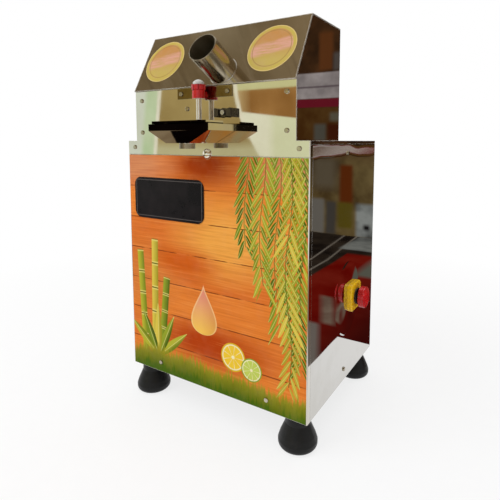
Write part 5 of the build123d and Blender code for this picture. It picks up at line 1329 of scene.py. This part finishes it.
# Blocks on the ground behind: limits across and back, softness, tones
YARD_BLOCKS = (
    ((0.42, 0.66), (1.17, 1.45), 0.01, tone(70, 72, 70), tone(120, 122, 118)),
    ((0.36, 0.46), (0.80, 1.10), 0.02, tone(92, 92, 82)),
)
LEANING_BLOCKS = (
    ((0.248, 0.36), (0.0, 0.328), 0.01, tone(112, 104, 98)),
    ((0.199, 0.240), (0.34, 0.54), 0.012, tone(104, 84, 72), tone(138, 124, 108)),
)


def yard_view(s, x, y, z):
    """Ground behind and to the right: black paving, then a dark red mat, darkened next to the
    machine as its painted shadow.
    """
    clouds = s.mottle(*YARD_CLOUDS)
    # Painted shadow of the machine, darkening the mat towards it
    red = s.mix(s.span(x, *MAT_SHADOW), s.mix(clouds, *MAT_TONES), MAT_SHADOW_TONE)
    past = s.math("MAXIMUM", s.span(x, *MAT_SIDE), s.span(y, *MAT_END))
    paint = s.mix(past, red, s.mix(clouds, *BLACK_TONES))
    for joint_x in JOINT_XS:
        off = s.minus(x, s.plus(joint_x, s.span(y, *JOINT_BEND)))
        paint = s.mix(s.band(off, *JOINT_WIDTH), paint, JOINT_TONE)
    paint = blocks(s, paint, x, y, clouds, YARD_BLOCKS)
    lean = s.minus(x, s.times(y, YARD_LEAN))
    return blocks(s, paint, lean, y, clouds, LEANING_BLOCKS)


PAVING_TONES = (tone(104, 97, 86), tone(150, 143, 130))


def paving_view(s, x, y, z):
    """On the ground to the left, to the right and behind: warm grey paving."""
    return s.mix(s.mottle(*PAVING_CLOUDS), *PAVING_TONES)


SHARP = 0.0005

# Cards: name, axis they face, place on it, limits on the other two axes, softness, what they show
CARDS = (
    ("front_card", "y", -1.6, ((-2.3, -0.2), (0.2, 1.3)), (0.2, 0.2), front_view),
    ("right_front_card", "y", -1.6, ((0.7, 1.7), (0.4, 0.75)), (0.05, 0.05), right_front_view),
    ("ground_card", "z", 0.002, ((-1.4, -0.45), (-1.4, -0.68)), (0.12, 0.12), ground_view),
    ("right_card", "x", 1.6, ((-1.5, 0.7), (0.55, 2.3)), (0.2, 0.15), right_view),
    ("near_card", "z", 0.001, ((-0.55, 0.75), (-1.25, -0.55)), (0.1, 0.1), near_view),
    ("over_card", "z", 2.2, ((-3.0, 3.0), (-1.6, 0.1)), (0.3, 0.3), over_view),
    ("back_card", "y", 1.45, ((-0.3, 3.0), (0.0, 1.7)), (0.2, SHARP), back_view),
    ("yard_card", "z", 0.002, ((0.165, 3.0), (0.279, 1.45)), (0.05, SHARP), yard_view),
    ("side_yard_card", "z", 0.0015, ((0.315, 3.0), (0.05, 0.4)), (SHARP, 0.07), yard_view),
    ("right_ground_card", "z", 0.0012, ((0.45, 1.7), (-0.75, 0.05)), (0.1, 0.1), paving_view),
    ("left_ground_card", "z", 0.0005, ((-2.2, -0.55), (-1.6, 1.4)), (0.25, 0.25), paving_view),
    ("rear_ground_card", "z", 0.0008, ((-1.0, 0.3), (0.45, 1.6)), (0.2, 0.12), paving_view),
    ("upper_front_card", "y", -1.65, ((-2.3, 1.6), (0.95, 2.4)), (0.3, 0.2), over_view),
)


def camera():
    """Camera at the photograph's place and angle."""
    lens = bpy.data.cameras.new("camera")
    lens.lens = CAMERA_LENS
    lens.sensor_width = SENSOR_WIDTH
    lens.shift_x, lens.shift_y = CAMERA_SHIFT
    lens.clip_start = CLIP_START
    made = linked("camera", lens)
    made.location = at(*CAMERA_AT)
    made.rotation_euler = (math.radians(90 - CAMERA_DROP), 0, math.radians(CAMERA_TURN))
    bpy.context.scene.camera = made


studio_world()
studio_floor()
for label, settings in LAMPS.items():
    area_light(label, *settings)
for settings in CARDS:
    card(*settings)
camera()
bpy.context.scene.view_settings.view_transform = "Standard"
